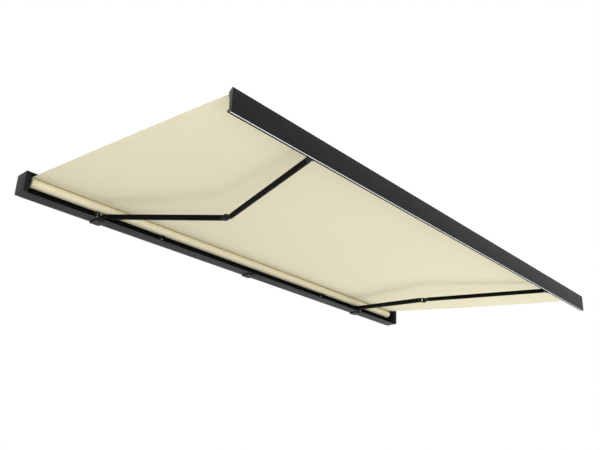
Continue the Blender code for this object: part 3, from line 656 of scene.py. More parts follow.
@dataclass(frozen=True)
class Finish:
    """What every finish shares: its name, the record's slot and the base of its shader.

    Its shade is how dark its darker tone is, as a share of its colour.
    """

    name: str
    slot: str
    colour: Triple
    roughness: float
    metallic: float = 0.0
    specular: float = 0.5
    shade: float = 0.86

    def material(self) -> bpy.types.Material:
        """Build the finish's material, or find it if it is there.

        Returns:
            The material.
        """
        found = bpy.data.materials.get(self.name)
        if found:
            return found
        made = bpy.data.materials.new(self.name)
        made.use_nodes = True
        made.diffuse_color = (*self.colour, 1.0)
        shader = made.node_tree.nodes["Principled BSDF"]
        graph = Graph(made.node_tree)
        graph.feed(shader, {"Metallic": self.metallic, "Specular IOR Level": self.specular})
        self.paint(graph, shader)
        return made

    def paint(self, graph: Graph, shader: bpy.types.Node) -> None:
        """Join the finish's own nodes to the shader."""
        raise NotImplementedError

    def toned(self, graph: Graph, mask: bpy.types.NodeSocket) -> bpy.types.NodeSocket:
        """Mix from the finish's colour to its darker tone by a mask."""
        darker = [self.shade * part for part in self.colour]
        return graph.mixed(mask, (*self.colour, 1.0), (*darker, 1.0))

    def grain(self, graph: Graph, place: bpy.types.NodeSocket, size: float) -> bpy.types.Node:
        """Place the shared grain with a size of its own."""
        return graph.add("ShaderNodeGroup", {"Vector": place, "Size": size}, node_tree=grain_group())

    def drift(self, graph: Graph, place: bpy.types.NodeSocket, size: float = 0.25) -> bpy.types.NodeSocket:
        """Place the shared drift with a size of its own."""
        given = {"Vector": place, "Size": size}
        return graph.add("ShaderNodeGroup", given, node_tree=drift_group()).outputs["Value"]


@dataclass(frozen=True)
class Coat(Finish):
    """Powder coat or paint with a fine grain, slow drift and rubbed edges.

    Faces that look down can have a roughness of their own, as where a coat is thin below:
    it comes in between the two heights of the normal that below gives.
    """

    grain_size: float = 0.0007
    grain_depth: float = 0.00004
    grain_strength: float = 0.6
    speckle_gloss: float = 0.06
    drift_share: float = 0.7
    drift_gloss: float = 0.04
    rubbed: Triple = (0.20, 0.20, 0.21)
    rub_amount: float = 0.35
    rough_below: float | None = None
    below: tuple[float, float] = (-0.9, -0.7)

    def paint(self, graph: Graph, shader: bpy.types.Node) -> None:
        """Grain into the bump, drift into colour and roughness, edges a little lighter.

        Args:
            graph: the material's graph.
            shader: its Principled shader.
        """
        place = graph.add("ShaderNodeTexCoord").outputs["Object"]
        grain = self.grain(graph, place, self.grain_size)
        drift = self.drift(graph, place)
        edges = graph.add("ShaderNodeGroup", node_tree=edge_group())
        toned = self.toned(graph, graph.calc("MULTIPLY", drift, self.drift_share))
        rub = graph.calc("MULTIPLY", edges.outputs["Mask"], self.rub_amount)
        gloss = graph.spread(drift, self.roughness - self.drift_gloss, self.roughness + self.drift_gloss)
        rough = graph.calc("MULTIPLY_ADD", grain.outputs["Speckle"], self.speckle_gloss, gloss)
        if self.rough_below is not None:
            up = graph.add("ShaderNodeNewGeometry").outputs["Normal"]
            level = graph.add("ShaderNodeSeparateXYZ", {0: up}).outputs[2]
            added = graph.spread(level, self.rough_below - self.roughness, 0.0, *self.below)
            rough = graph.calc("ADD", rough, added)
        graph.feed(shader, {
            "Base Color": graph.mixed(rub, toned, (*self.rubbed, 1.0)),
            "Roughness": rough,
            "Normal": graph.bump(grain.outputs["Height"], self.grain_depth, self.grain_strength),
        })


@dataclass(frozen=True)
class Metal(Finish):
    """Bare metal with fine drawn or turned lines and a slow change of gloss."""

    shade: float = 0.8
    line: float = 0.00025
    line_depth: float = 0.00001
    line_strength: float = 0.4
    line_gloss: float = 0.12
    gloss_range: tuple[float, float] = (-0.08, 0.04)
    direction: Triple = (0.02, 1.0, 1.0)

    def paint(self, graph: Graph, shader: bpy.types.Node) -> None:
        """Lines are noise squeezed across the drawing direction.

        Args:
            graph: the material's graph.
            shader: its Principled shader.
        """
        place = graph.add("ShaderNodeTexCoord").outputs["Object"]
        squeezed = graph.add("ShaderNodeMapping", {"Vector": place, "Scale": self.direction})
        lines = graph.noise(squeezed.outputs[0], 1.0 / self.line, Detail=2.0)
        low, high = self.gloss_range
        gloss = graph.spread(self.drift(graph, place), self.roughness + low, self.roughness + high)
        graph.feed(shader, {
            "Base Color": self.toned(graph, lines),
            "Roughness": graph.calc("MULTIPLY_ADD", lines, self.line_gloss, gloss),
            "Normal": graph.bump(lines, self.line_depth, self.line_strength),
        })


@dataclass(frozen=True)
class Moulded(Finish):
    """Moulded plastic with a spark-eroded grain."""

    shade: float = 0.9
    grain_size: float = 0.0009
    grain_depth: float = 0.00003
    grain_strength: float = 0.5
    gloss_range: tuple[float, float] = (-0.05, 0.07)

    def paint(self, graph: Graph, shader: bpy.types.Node) -> None:
        """Grain into bump and gloss, slow drift into the colour.

        Args:
            graph: the material's graph.
            shader: its Principled shader.
        """
        place = graph.add("ShaderNodeTexCoord").outputs["Object"]
        grain = self.grain(graph, place, self.grain_size)
        low, high = self.gloss_range
        graph.feed(shader, {
            "Base Color": self.toned(graph, self.drift(graph, place)),
            "Roughness": graph.spread(grain.outputs["Speckle"], self.roughness + low, self.roughness + high),
            "Normal": graph.bump(grain.outputs["Height"], self.grain_depth, self.grain_strength),
        })


@dataclass(frozen=True)
class Cloth(Finish):
    """Woven awning canvas on the piece's own map, whose unit is a metre.

    The map's first axis runs across the awning and its second along the drop. Widths of cloth
    meet at seams. Slubs and drift darken it by their share as tone of the yarn. The gaps between
    yarns and the seams darken it by their share too, as painted shade: shade in the hollows of the
    weave, and less light through the doubled cloth at the seams.
    """

    shade: float = 0.80
    yarn: float = 0.0007
    weave_depth: float = 0.00012
    weave_strength: float = 0.5
    seam_pitch: float = 1.21
    seam_half: float = 0.011
    seam_edge: tuple[float, float] = (0.9, 1.1)
    # Painted shade: how much the hollows between yarns darken the colour
    gap_shade_share: float = 0.30
    slub_share: float = 0.22
    drift_share: float = 0.10
    # Painted shade: how much the seams darken the colour, where the doubled cloth lets less light through
    seam_shade_share: float = 0.10
    drift_size: float = 0.9
    sheen: float = 0.06
    sheen_roughness: float = 0.6
    gloss_range: tuple[float, float] = (0.06, -0.04)

    def paint(self, graph: Graph, shader: bpy.types.Node) -> None:
        """Weave into the bump; yarn tone and soft drift into the colour, with painted shade in the yarn gaps
        and at the seams.

        Args:
            graph: the material's graph.
            shader: its Principled shader.
        """
        place = graph.add("ShaderNodeUVMap", uv_map="cloth").outputs[0]
        given = {"Vector": place, "Yarn": self.yarn}
        weave = graph.add("ShaderNodeGroup", given, node_tree=weave_group()).outputs
        axes = graph.add("ShaderNodeSeparateXYZ", {0: place})
        folded = graph.calc("PINGPONG", axes.outputs[0], self.seam_pitch / 2)
        inner, outer = [self.seam_half * share for share in self.seam_edge]
        near_seam = graph.spread(folded, 1.0, 0.0, inner, outer)
        dark = graph.calc("MULTIPLY", weave["Slub"], self.slub_share)
        # Painted shade in the gaps between yarns, where shade falls in the weave
        dark = graph.calc("MULTIPLY_ADD", weave["Gap_Shade"], self.gap_shade_share, dark)
        drift = self.drift(graph, place, self.drift_size)
        dark = graph.calc("MULTIPLY_ADD", drift, self.drift_share, dark)
        # Painted shade at the seams, where the doubled cloth lets less light through
        dark = graph.calc("MULTIPLY_ADD", near_seam, self.seam_shade_share, dark)
        low, high = self.gloss_range
        graph.feed(shader, {
            "Base Color": self.toned(graph, dark),
            "Sheen Weight": self.sheen,
            "Sheen Roughness": self.sheen_roughness,
            "Roughness": graph.spread(weave["Height"], self.roughness + low, self.roughness + high),
            "Normal": graph.bump(weave["Height"], self.weave_depth, self.weave_strength),
        })


ANTHRACITE = Coat("anthracite_powder", "powder_coat", (0.0088, 0.0090, 0.0094), 0.36, specular=0.11,
                  rubbed=(0.04, 0.04, 0.042), rub_amount=0.25)
BAR_COAT = replace(ANTHRACITE, name="anthracite_bar_powder", rough_below=0.95)
ARM_BLACK = Coat("black_arm_coat", "cast_black", (0.0032, 0.0031, 0.0030), 0.55, specular=0.04,
                 rubbed=(0.03, 0.03, 0.03), rub_amount=0.2, grain_size=0.0010)
CAST_BLACK = Coat("black_cast_coat", "cast_black", (0.010, 0.010, 0.011), 0.55, specular=0.16,
                  rubbed=(0.09, 0.09, 0.09), rub_amount=0.3, grain_size=0.0016,
                  grain_depth=0.00010)
STEEL = Metal("turned_steel", "bright_steel", (0.80, 0.80, 0.81), 0.30, metallic=1.0)
DARK_STEEL = Metal("blackened_steel", "bright_steel", (0.035, 0.035, 0.036), 0.48, metallic=1.0)
SPRING = Metal("oiled_spring_steel", "spring_steel", (0.28, 0.28, 0.29), 0.38, metallic=1.0)
MILL = Metal("mill_aluminium", "raw_aluminium", (0.66, 0.67, 0.68), 0.38, metallic=1.0)
BLACK_PLASTIC = Moulded("black_plastic_grain", "black_plastic", (0.012, 0.012, 0.013), 0.55,
                        specular=0.2)
CAP_PLASTIC = Moulded("dark_cap_plastic", "black_plastic", (0.050, 0.052, 0.050), 0.5, specular=0.3)
WHITE_PLASTIC = Moulded("white_strip_plastic", "white_plastic", (0.90, 0.91, 0.92), 0.32)
CREAM = Cloth("cream_canvas", "canvas", (0.76, 0.71, 0.51), 0.86, specular=0.12)


class Assembly:
    """What every sub-assembly does with its finished pieces."""

    def settle(self, piece: bpy.types.Object, finish: Finish, body: str, *nodes: str) -> None:
        """Dress a new piece and let it ride on a body.

        Args:
            piece: the finished piece.
            finish: its finish.
            body: the body that carries it.
            nodes: the nodes that it stands for.
        """
        piece.data.materials.clear()
        piece.data.materials.append(finish.material())
        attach(piece, body)
        if nodes:
            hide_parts(*nodes)
        log.info("%s rides on %s", piece.name, body)

    def dress(self, finish: Finish, *nodes: str) -> None:
        """Give nodes that stay as they are their finish.

        Args:
            finish: the finish.
            nodes: names of the nodes.
        """
        for name in nodes:
            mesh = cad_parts[name].data
            mesh.materials.clear()
            mesh.materials.append(finish.material())
            log.info("%s keeps its form", name)

    def screws(self, name: str, screw: SocketScrew, places: list[Array], body: str) -> None:
        """Group of equal bright screws, one for each frame."""
        self.settle(loft(name, *(screw.rings(place) for place in places)), STEEL, body)


@dataclass
class Cassette(Assembly):
    """Hood, back wall, tray, end caps and bearing plates.

    The corners of the extrusions are crisp, fine or eased, in that order of radius.
    """

    sizes: Sizes = SIZES
    corner: float = 0.005
    crisp: float = 0.0002
    fine: float = 0.0003
    eased: float = 0.0004
    hood_inner_front: float = 0.0022
    hood_inner_back: float = 0.0020
    back_wall: float = 0.003
    hook_back: float = 0.007
    hook_wall: float = 0.0022
    hook_low: float = 0.1475
    hook_round: float = 0.0006
    lip: float = 0.1545
    lip_in: float = 0.0006
    lip_round: float = 0.0007
    ledge: float = 0.152
    tray_recess: float = 0.017
    tray_lip: float = 0.0082
    tray_round: float = 0.48
    groove_at: tuple[float, ...] = (0.052, 0.094)
    groove_width: float = 0.0080
    groove_depth: float = 0.0021
    groove_floor: float = 0.0010
    rim: float = 0.0065
    rim_chamfer: float = 0.0006
    cap_fillet: float = 0.0030
    cap_plate: float = 0.0035
    pocket_corner: float = 0.003
    pocket_fillet: float = 0.002
    plate_edge: float = 0.0006
    plate_screw: SocketScrew = SocketScrew(0.0046, 0.0022, 0.0019, 0.0014)
    plate_screws_at: tuple[tuple[float, float], ...] = (
        (-0.040, 0.148), (-0.110, 0.143), (-0.112, 0.026), (-0.034, 0.030))
    body: str = "cassette"

    def outline(self, inset: float, radius: float) -> Array:
        """Rounded section of the cassette in (y, z).

        Args:
            inset: how far it is drawn in.
            radius: radius of its corners.

        Returns:
            The points of the outline, one row each.
        """
        s = self.sizes
        front_top = s.back - s.depth + inset
        front_low = front_top + s.mouth_lean
        corners = np.array([[s.back - inset, inset], [s.back - inset, s.height - inset],
                            [front_top, s.height - inset], [front_low, inset]])
        return filleted(corners, radius, 8)

    def extrude(self, name: str, rows: list[Triple], steps: int, node: str) -> None:
        """Draw a profile from cap to cap.

        Args:
            name: the piece's name.
            rows: corners of the profile as (y, z, radius).
            steps: pieces that each round corner is cut into.
            node: the node that it stands for.
        """
        table = np.array(rows)
        reach = self.sizes.cap_inner - self.sizes.gap
        rings = stations(filleted(table[:, :2], table[:, 2], steps), [-reach, reach], [0.0, 0.0])
        self.settle(loft(name, rings), ANTHRACITE, self.body, node)

    def hood(self) -> None:
        """Top cover: an even wall with round corners, a front lip and a hook behind."""
        s, fine = self.sizes, self.fine
        top, wall, front = s.height, s.wall, s.back - s.depth
        inside, lip, seat = top - wall, front + self.lip_in, self.ledge + s.gap
        hook = s.back - self.back_wall - self.hook_back - s.gap
        self.extrude("hood_cover", [
            (s.back, seat, fine), (s.back, top, self.corner), (front, top, self.corner),
            (lip, self.lip, self.lip_round), (lip + wall, self.lip, self.lip_round),
            (front + wall, inside, self.hood_inner_front), (hook - self.hook_wall, inside, fine),
            (hook - self.hook_wall, self.hook_low, self.hook_round),
            (hook, self.hook_low, self.hook_round), (hook, inside, fine),
            (s.back - wall, inside, self.hood_inner_back), (s.back - wall, seat, fine),
        ], 5, "hood")

    def tray(self) -> None:
        """Underside: a flat wall with a round front edge and two fine grooves."""
        s, crisp, fine, eased = self.sizes, self.crisp, self.fine, self.eased
        front = s.back - s.depth + s.mouth_lean + self.tray_recess
        lip = s.back - self.back_wall - s.gap
        half, deep, flat = self.groove_width / 2, self.groove_depth, self.groove_floor / 2
        rows = [
            (s.back, 0.0, eased), (s.back, s.wall, crisp), (lip, s.wall, crisp),
            (lip, self.tray_lip, eased), (lip - self.hook_wall, self.tray_lip, eased),
            (lip - self.hook_wall, s.wall, fine), (front, s.wall, s.wall * self.tray_round),
            (front, 0.0, s.wall * self.tray_round),
        ]
        for reach in sorted(self.groove_at, reverse=True):
            middle = s.back - reach
            rows += [(middle - half, 0.0, fine), (middle - flat, deep, crisp),
                     (middle + flat, deep, crisp), (middle + half, 0.0, fine)]
        self.extrude("bottom_tray", rows, 4, "bottom_profile")

    def end_cap(self, hand: Hand) -> None:
        """Cast end: rings run over the rim, round the outer edge and down into the pocket.

        The outside rings shrink along a quarter circle towards the outer face. The inside
        rings go from the rim into the pocket, whose floor closes the form.

        Args:
            hand: its side.
        """
        s, sign, fillet, chamfer = self.sizes, hand.sign, self.cap_fillet, self.rim_chamfer
        turn = np.linspace(0, math.pi / 2, 6)
        outer = self.outline(0.0, self.corner)
        outside = s.width / 2 - fillet + fillet * np.sin(turn)
        outside_in = fillet * (1 - np.cos(turn))
        face = stations(outer, sign * outside[::-1], outside_in[::-1])
        mouth_at = np.array([s.cap_inner, s.cap_inner + chamfer])
        side = stations(outer, sign * mouth_at[::-1], [0.0, chamfer])
        inner = self.outline(self.rim, self.pocket_corner)
        mouth = stations(inner, sign * mouth_at, [-chamfer, 0.0])
        floor = s.width / 2 - self.cap_plate
        pocket_at = np.array([floor - self.pocket_fillet, floor])
        pocket = stations(inner, sign * pocket_at, [0.0, self.pocket_fillet])
        rings = np.concatenate([face, side, mouth, pocket])
        name = hand.label + "_end_cap"
        self.settle(loft(name + "_casting", rings), ANTHRACITE, self.body, name)

    def bearing_plate(self, hand: Hand) -> None:
        """Black inner plate with a soft-edged boss, and its fixing screws.

        Args:
            hand: its side.
        """
        name = hand.label + "_bearing_plate"
        self.settle(softened(name, self.plate_edge, name + "_pressing"), CAST_BLACK, self.body, name)
        turn = turned_by(-hand.sign * math.pi / 2, Axis.Y)
        x = hand.sign * (self.sizes.cap_inner - SEAT_SHIFT)
        places = [shifted_by(x, y, z) @ turn for y, z in self.plate_screws_at]
        self.screws(hand.label + "_end_screws", self.plate_screw, places, self.body)

    def build(self) -> None:
        """Make and dress the whole cassette."""
        self.hood()
        self.tray()
        self.dress(ANTHRACITE, "back_profile")
        for hand in Hand:
            self.end_cap(hand)
            self.bearing_plate(hand)


@dataclass
class WallBrackets(Assembly):
    """Extruded wall plates with a tongue under the cassette and one clamp screw each."""

    spacing: float = 1.78
    edge: float = 0.0008
    screw_y: float = -0.08325
    seat: float = -0.0088
    screw: SocketScrew = SocketScrew(0.0075, 0.0040, 0.0030, 0.0026)
    body: str = "cassette"

    def build(self) -> None:
        """Round the brackets' edges and give each its screw."""
        for label, share in (("left", -1.0), ("middle", 0.0), ("right", 1.0)):
            name = label + "_wall_bracket"
            self.settle(softened(name, self.edge, name + "_section"), ANTHRACITE, self.body, name)
            down = shifted_by(share * self.spacing, self.screw_y, self.seat) @ turned_by(math.pi, Axis.X)
            screw = loft(label + "_clamp_screw", self.screw.rings(down))
            self.settle(screw, DARK_STEEL, self.body, label + "_wall_screw")


def lay_map(piece: bpy.types.Object, across: Array, along: Array) -> None:
    """Give a cloth piece its own map in metres.

    Args:
        piece: the cloth.
        across: first coordinate of each vertex.
        along: second coordinate of each vertex.
    """
    mesh = piece.data
    corner = np.zeros(len(mesh.loops), np.int32)
    mesh.loops.foreach_get("vertex_index", corner)
    flat = np.stack([across.ravel()[corner], along.ravel()[corner]], axis=1).astype(np.float32)
    mesh.uv_layers.new(name="cloth").data.foreach_set("uv", flat.ravel())


@dataclass
class Roller(Assembly):
    """Grooved tube with its wound canvas and end fittings."""

    sizes: Sizes = SIZES
    turns: float = 9.0
    tube_r: float = 0.0354
    tube_clear: float = 0.0004
    layer_lift: float = 0.0007
    lift_fade: float = 20.0
    around: int = 120
    across: int = 18
    body: str = "roller"

    def canvas_roll(self) -> None:
        """Wound canvas.

        The outside is a spiral that loses one thickness in a turn, so that the last layer
        ends in a step where the sheet leaves. The ends are rings of layers: a small saw-tooth
        of the radius less the angle's share of a thickness moves each point along the roll.
        """
        s = self.sizes
        share = np.linspace(0, 1, self.around)
        angle = math.pi / 2 + s.pitch - 2 * math.pi * share
        outer = s.roll_r - s.canvas_thick * share
        hole = self.tube_r + self.tube_clear
        depth = np.linspace(0, 1, self.across)[:, None]
        radius = outer[None, :] * (1 - depth) + hole * depth
        layer = (s.roll_r - hole) / self.turns
        wave = np.abs(((radius - outer[None, :]) / layer) % 1.0 - 0.5) * 2
        from_rim = np.minimum(depth, 1 - depth)
        lift = self.layer_lift * wave * np.minimum(1.0, from_rim * self.lift_fade)
        y = radius * np.cos(angle)[None, :]
        z = radius * np.sin(angle)[None, :]
        right = np.stack([s.canvas_half - lift, y, z], axis=2)
        left = np.stack([-s.canvas_half + lift, y, z], axis=2)
        rings = np.concatenate([left[::-1], right])
        piece = tunnel("wound_canvas", rings + np.array([0.0, -s.roller_back, s.roller_z]))
        lay_map(piece, rings[..., 0], np.arctan2(rings[..., 2], rings[..., 1]) * s.roll_r)
        self.settle(piece, CREAM, self.body, "canvas_roll")

    def build(self) -> None:
        """Make the roll and dress what carries it."""
        self.canvas_roll()
        self.dress(MILL, "roller_tube")
        self.dress(BLACK_PLASTIC, "idler_plug", "drive_wheel", "motor_crown", "tube_motor")


@dataclass
class CanvasSheet(Assembly):
    """The drawn-out canvas, one curved sheet from the roll to the front bar.

    Its share across runs from -1 to 1, and its share along from 0 at the roll to 1 at the bar.
    """

    sizes: Sizes = SIZES
    sag: float = 0.020
    side_sag: float = 0.40
    flare: float = 0.069
    flare_power: float = 1.7
    ripple: float = 0.0022
    ripple_power: float = 0.8
    fan_waves: float = 9.0
    fan_wander: float = 1.4
    wander_waves: float = 2.3
    fan_fade: float = 3.2
    slack_share: float = 0.35
    slack_at: float = 0.93
    slack_width: float = 0.035
    slack_waves: float = 7.0
    slack_lean: float = 1.5
    steps: int = 150
    hem: float = 0.024
    hem_step: float = 0.0015
    thin: float = 0.0008
    end_back: float = 0.0247
    end_up: float = 0.0463
    body: str = "cassette"

    def ends(self) -> tuple[Array, Array]:
        """Where the sheet leaves the roll and where it enters the bar.

        Returns:
            Both points as (y, z).
        """
        s = self.sizes
        tangent = s.roll_r + s.canvas_thick / 2 + s.gap
        start = np.array([-s.roller_back, s.roller_z]) + tangent * s.arm_up[1:]
        end = np.array([s.bar_face + self.end_back, s.bar_z + self.end_up])
        return start, end

    def half_width(self, share: Array) -> Array:
        """Half the cloth's width at a share of the drop: it grows from the roll to the bar."""
        return self.sizes.canvas_half + self.flare * (1 - (1 - share) ** self.flare_power)

    def middle_surface(self) -> tuple[Array, Array, Array]:
        """Mid surface of the cloth.

        Along the drop it is the straight line from roll to bar, less a parabola of sag that
        is deepest mid-way and less at the sides, which are pulled straight by their hems.
        Shallow ripples fan out from the roll, and a slack wave runs beside each hem.

        Returns:
            Points (along, across, 3), the shares across and the shares along.
        """
        start, end = self.ends()
        s = np.linspace(0, 1, self.steps + 1)[:, None]
        c = np.linspace(-1, 1, self.steps + 1)[None, :]
        sag = self.sag * 4 * s * (1 - s) * (self.side_sag + (1 - self.side_sag) * (1 - c**2))
        fade = np.sin(math.pi * s) ** self.ripple_power
        wander = self.fan_wander * np.sin(self.wander_waves * c)
        fan = np.sin(self.fan_waves * c + wander) * np.exp(-self.fan_fade * s)
        beside_hem = np.exp(-(((np.abs(c) - self.slack_at) / self.slack_width) ** 2))
        slack = beside_hem * np.sin(self.slack_waves * math.pi * s + self.slack_lean * c)
        lift = self.ripple * fade * (fan + self.slack_share * slack) - sag
        x = np.broadcast_to(c * self.half_width(s), lift.shape)
        y = np.broadcast_to(start[0] + (end[0] - start[0]) * s, lift.shape)
        z = start[1] + (end[1] - start[1]) * s + lift
        return np.stack([x, y, z], axis=2), c, s

    def build(self) -> None:
        """Give the mid surface its thickness, thicker at the hems, and close its rim."""
        surface, c, s = self.middle_surface()
        width = self.half_width(s)
        from_edge = (1 - np.abs(c)) * width
        hemmed = 1 / (1 + np.exp((from_edge - self.hem) / self.hem_step))
        half = 0.5 * (self.thin + (self.sizes.canvas_thick - self.thin) * hemmed)
        normal = unit(np.cross(np.gradient(surface, axis=1), np.gradient(surface, axis=0)))
        normal *= np.sign(normal[..., 2:])
        top = surface + normal * half[..., None]
        low = surface - normal * half[..., None]
        rings = np.concatenate([top, low[:, ::-1]], axis=1)
        piece = loft("drawn_canvas", rings, sharp=50)
        start, end = self.ends()
        length = float(np.linalg.norm(end - start))
        across = c * width
        across = np.concatenate([across, across[:, ::-1]], axis=1)
        lay_map(piece, across, np.broadcast_to(s * length, across.shape))
        self.settle(piece, CREAM, self.body, "canvas_sheet")
        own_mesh(piece)


@dataclass
class FoldingArm(Assembly):
    """One arm with its brackets: tubes are extrusions, joints are castings.

    Places of screws are (x, z), with x as the distance from the middle of the awning.
    """

    hand: Hand
    sizes: Sizes = SIZES
    upper_tube: tuple[float, float] = (0.038, 0.041)
    forearm_tube: tuple[float, float] = (0.032, 0.036)
    tube_wall: float = 0.003
    tube_corner: float = 0.008
    tube_chamfer: float = 0.0004
    corner_steps: int = 10
    side_points: int = 11
    flute_depth: float = 0.0011
    flute_share: float = 0.11
    side_share: float = 0.49
    collar_end: float = 0.0533
    casting_edge: float = 0.0012
    pin_halves: Triple = (0.0225, 0.0205, 0.0215)
    pin_r: float = 0.0100
    shank_r: float = 0.006
    dome_share: float = 0.62
    head_edge: float = 0.0008
    head_dome: float = 0.0014
    centre_r: tuple[float, float] = (0.0035, 0.0030)
    centre_depth: float = 0.0010
    block_face: float = -0.0978
    clamp_bolt: SocketScrew = SocketScrew(0.0072, 0.0045, 0.0032, 0.0028)
    clamp_bolt_at: tuple[float, float] = (1.7830, 0.0570)
    block_screws_at: tuple[tuple[float, float], ...] = ((1.8190, 0.0260), (1.8190, 0.0500))
    bracket_face: float = -0.0218
    bracket_screw: SocketScrew = SocketScrew(0.0050, 0.0032, 0.0023, 0.0020)
    plate_screws_at: tuple[tuple[float, float], ...] = ((1.7050, 0.026), (1.7050, 0.064))
    wrist_plate: float = 0.0065
    wrist_screw: SocketScrew = SocketScrew(0.0046, 0.0032, 0.0021, 0.0020)
    wrist_screws_apart: float = 0.080
    wrist_screw_drop: float = 0.003

    def inward(self) -> float:
        """Sign of x towards the middle of the awning."""
        return -self.hand.sign

    def hinge_plane(self, x: float, y: float, z: float) -> Array:
        """Frame at a pivot whose Z is the hinge: pitched with the fall and rolled outwards."""
        lean = turned_by(-self.inward() * self.sizes.hinge_roll, Axis.Y)
        return shifted_by(self.hand.sign * x, y, z) @ turned_by(self.sizes.pitch, Axis.X) @ lean

    def shoulder_plane(self) -> Array:
        """Frame at the shoulder pivot."""
        s = self.sizes
        return self.hinge_plane(s.shoulder_x, -s.shoulder_back, s.shoulder_z)

    def upper_frame(self) -> Array:
        """Frame of the upper arm, its X from the shoulder towards the elbow."""
        swing = -self.sizes.swing if self.inward() > 0 else self.sizes.swing - math.pi
        return self.shoulder_plane() @ turned_by(swing, Axis.Z)

    def elbow_plane(self) -> Array:
        """Frame at the elbow pivot that is parallel to the upper arm."""
        s = self.sizes
        return self.upper_frame() @ shifted_by(s.arm_flat, -self.inward() * s.arm_offset, -s.elbow_drop)

    def elbow_frame(self) -> Array:
        """Frame of the forearm, its X from the elbow towards the wrist."""
        fold = math.pi - 2 * self.sizes.swing
        return self.elbow_plane() @ turned_by(-self.inward() * fold, Axis.Z)

    def wrist_plane(self) -> Array:
        """Frame at the wrist pivot on the front bar."""
        s = self.sizes
        return self.hinge_plane(s.wrist_x, s.wrist[1], s.wrist[2])

    def section(self, size: tuple[float, float]) -> Array:
        """Outside of an arm tube in (y, z): a rounded box with two shallow side flutes.

        A flute is a smooth bump function of the height, taken off the half width.

        Args:
            size: width and height.

        Returns:
            The points of the outline, one row each.
        """
        width, height = size
        outline = box_outline(width, height, self.tube_corner, self.corner_steps)
        low_corners = 2 * (self.corner_steps + 1)
        extra = np.linspace(-1, 1, self.side_points + 2)[1:-1] * (height / 2 - self.tube_corner)
        right = np.stack([np.full_like(extra, width / 2), extra], axis=1)
        points = np.concatenate([outline[:low_corners], right, outline[low_corners:], -right])
        flute = self.flute_depth * np.exp(-((points[:, 1] / (self.flute_share * height)) ** 2))
        beside = np.abs(points[:, 0]) > width * self.side_share
        points[:, 0] -= np.sign(points[:, 0]) * flute * beside
        return points

    def tube(self, name: str, size: tuple[float, float], offset: float, rise: float,
             base: Array, body: str) -> None:
        """Extruded arm tube with a bore.

        Args:
            name: the node that it stands for.
            size: width and height.
            offset: how far its middle lies from the pivot line.
            rise: height gained from its first pivot to its second.
            base: frame at its first pivot.
            body: the body that carries it.
        """
        flat = self.sizes.arm_flat
        line = base @ turned_by(-math.atan2(rise, flat), Axis.Y)
        outer = self.section(size)
        inner = drawn_in(outer, self.tube_wall)
        low, high, chamfer = self.collar_end, math.hypot(rise, flat) - self.collar_end, self.tube_chamfer
        skin = [stations(outer, [low, low + chamfer, high - chamfer, high], [chamfer, 0, 0, chamfer]),
                stations(inner, [high, low], [0, 0])]
        rings = np.concatenate(skin)
        rings[..., 1] += offset
        self.settle(tunnel(name + "_extrusion", moved(rings, line)), ARM_BLACK, body, name)

    def pin(self, node: str, plane: Array, half: float, body: str) -> None:
        """Headed pin: a round shank whose two heads are domed by a quarter ellipse.

        Args:
            node: the node that it stands for.
            plane: frame at its middle, with Z along the pin.
            half: half the length between its heads.
            body: the body that carries it.
        """
        head, r, edge = half + self.sizes.gap, self.pin_r, self.head_edge
        turn = np.linspace(0, math.pi / 2, 6)
        dome = np.stack([r * np.cos(turn) * self.dome_share + r * (1 - self.dome_share),
                         head + edge + self.head_dome * np.sin(turn)], axis=1)
        top = head + edge + self.head_dome
        side = np.array([[self.shank_r, 0.0], [self.shank_r, head], [r, head]])
        centre = np.array([[self.centre_r[0], top], [self.centre_r[1], top - self.centre_depth]])
        upper = np.concatenate([side, dome, centre])
        lower = upper[::-1] * np.array([1.0, -1.0])
        rings = lathe(np.concatenate([lower, upper[1:]]), plane)
        self.settle(loft(node + "_turning", rings), DARK_STEEL, body, node)

    def build(self) -> None:
        """Make both segments, their joints and the fixings at wall and bar."""
        label, s = self.hand.label, self.sizes
        upper_body, fore_body = label + "_upper_arm", label + "_forearm"
        self.tube(label + "_upper_tube", self.upper_tube, 0.0, -s.elbow_drop, self.upper_frame(), upper_body)
        self.tube(label + "_forearm_tube", self.forearm_tube, self.inward() * s.arm_offset,
                  s.elbow_drop + s.wrist_rise, self.elbow_frame(), fore_body)
        castings = {"_shoulder_knuckle": upper_body, "_elbow_fork": upper_body,
                    "_elbow_knuckle": fore_body, "_wrist_knuckle": fore_body,
                    "_shoulder_bracket": "cassette", "_wrist_bracket": "front_bar"}
        for node, body in castings.items():
            name = label + node
            self.settle(softened(name, self.casting_edge, name + "_casting"), CAST_BLACK, body, name)
        pins = (("_shoulder_pin", self.shoulder_plane(), "cassette"),
                ("_elbow_pin", self.elbow_plane(), upper_body),
                ("_wrist_pin", self.wrist_plane(), "front_bar"))
        for (node, plane, body), half in zip(pins, self.pin_halves):
            self.pin(label + node, plane, half, body)
        self.dress(SPRING, label + "_arm_spring", label + "_pull_rod")
        self.fixings()

    def fixings(self) -> None:
        """Screws in the shoulder's block and plate and in the wrist's plate."""
        label, sign, s = self.hand.label, self.hand.sign, self.sizes
        forward, back = turned_by(math.pi / 2, Axis.X), turned_by(-math.pi / 2, Axis.X)
        block, plate = self.block_face + SEAT_SHIFT, self.bracket_face + SEAT_SHIFT
        x, z = self.clamp_bolt_at
        bolt = [shifted_by(sign * x, block, z) @ forward]
        self.screws(label + "_clamp_bolt", self.clamp_bolt, bolt, "cassette")
        small = [shifted_by(sign * x, block, z) @ forward for x, z in self.block_screws_at]
        small += [shifted_by(sign * x, plate, z) @ forward for x, z in self.plate_screws_at]
        self.screws(label + "_shoulder_screws", self.bracket_screw, small, "cassette")
        y = s.bar_face + s.bar_web + s.gap + self.wrist_plate - SEAT_SHIFT
        z = s.wrist[2] - self.wrist_screw_drop
        half = self.wrist_screws_apart / 2
        fixed = [shifted_by(sign * (s.wrist_x + dx), y, z) @ back for dx in (-half, half)]
        self.screws(label + "_wrist_screws", self.wrist_screw, fixed, "front_bar")


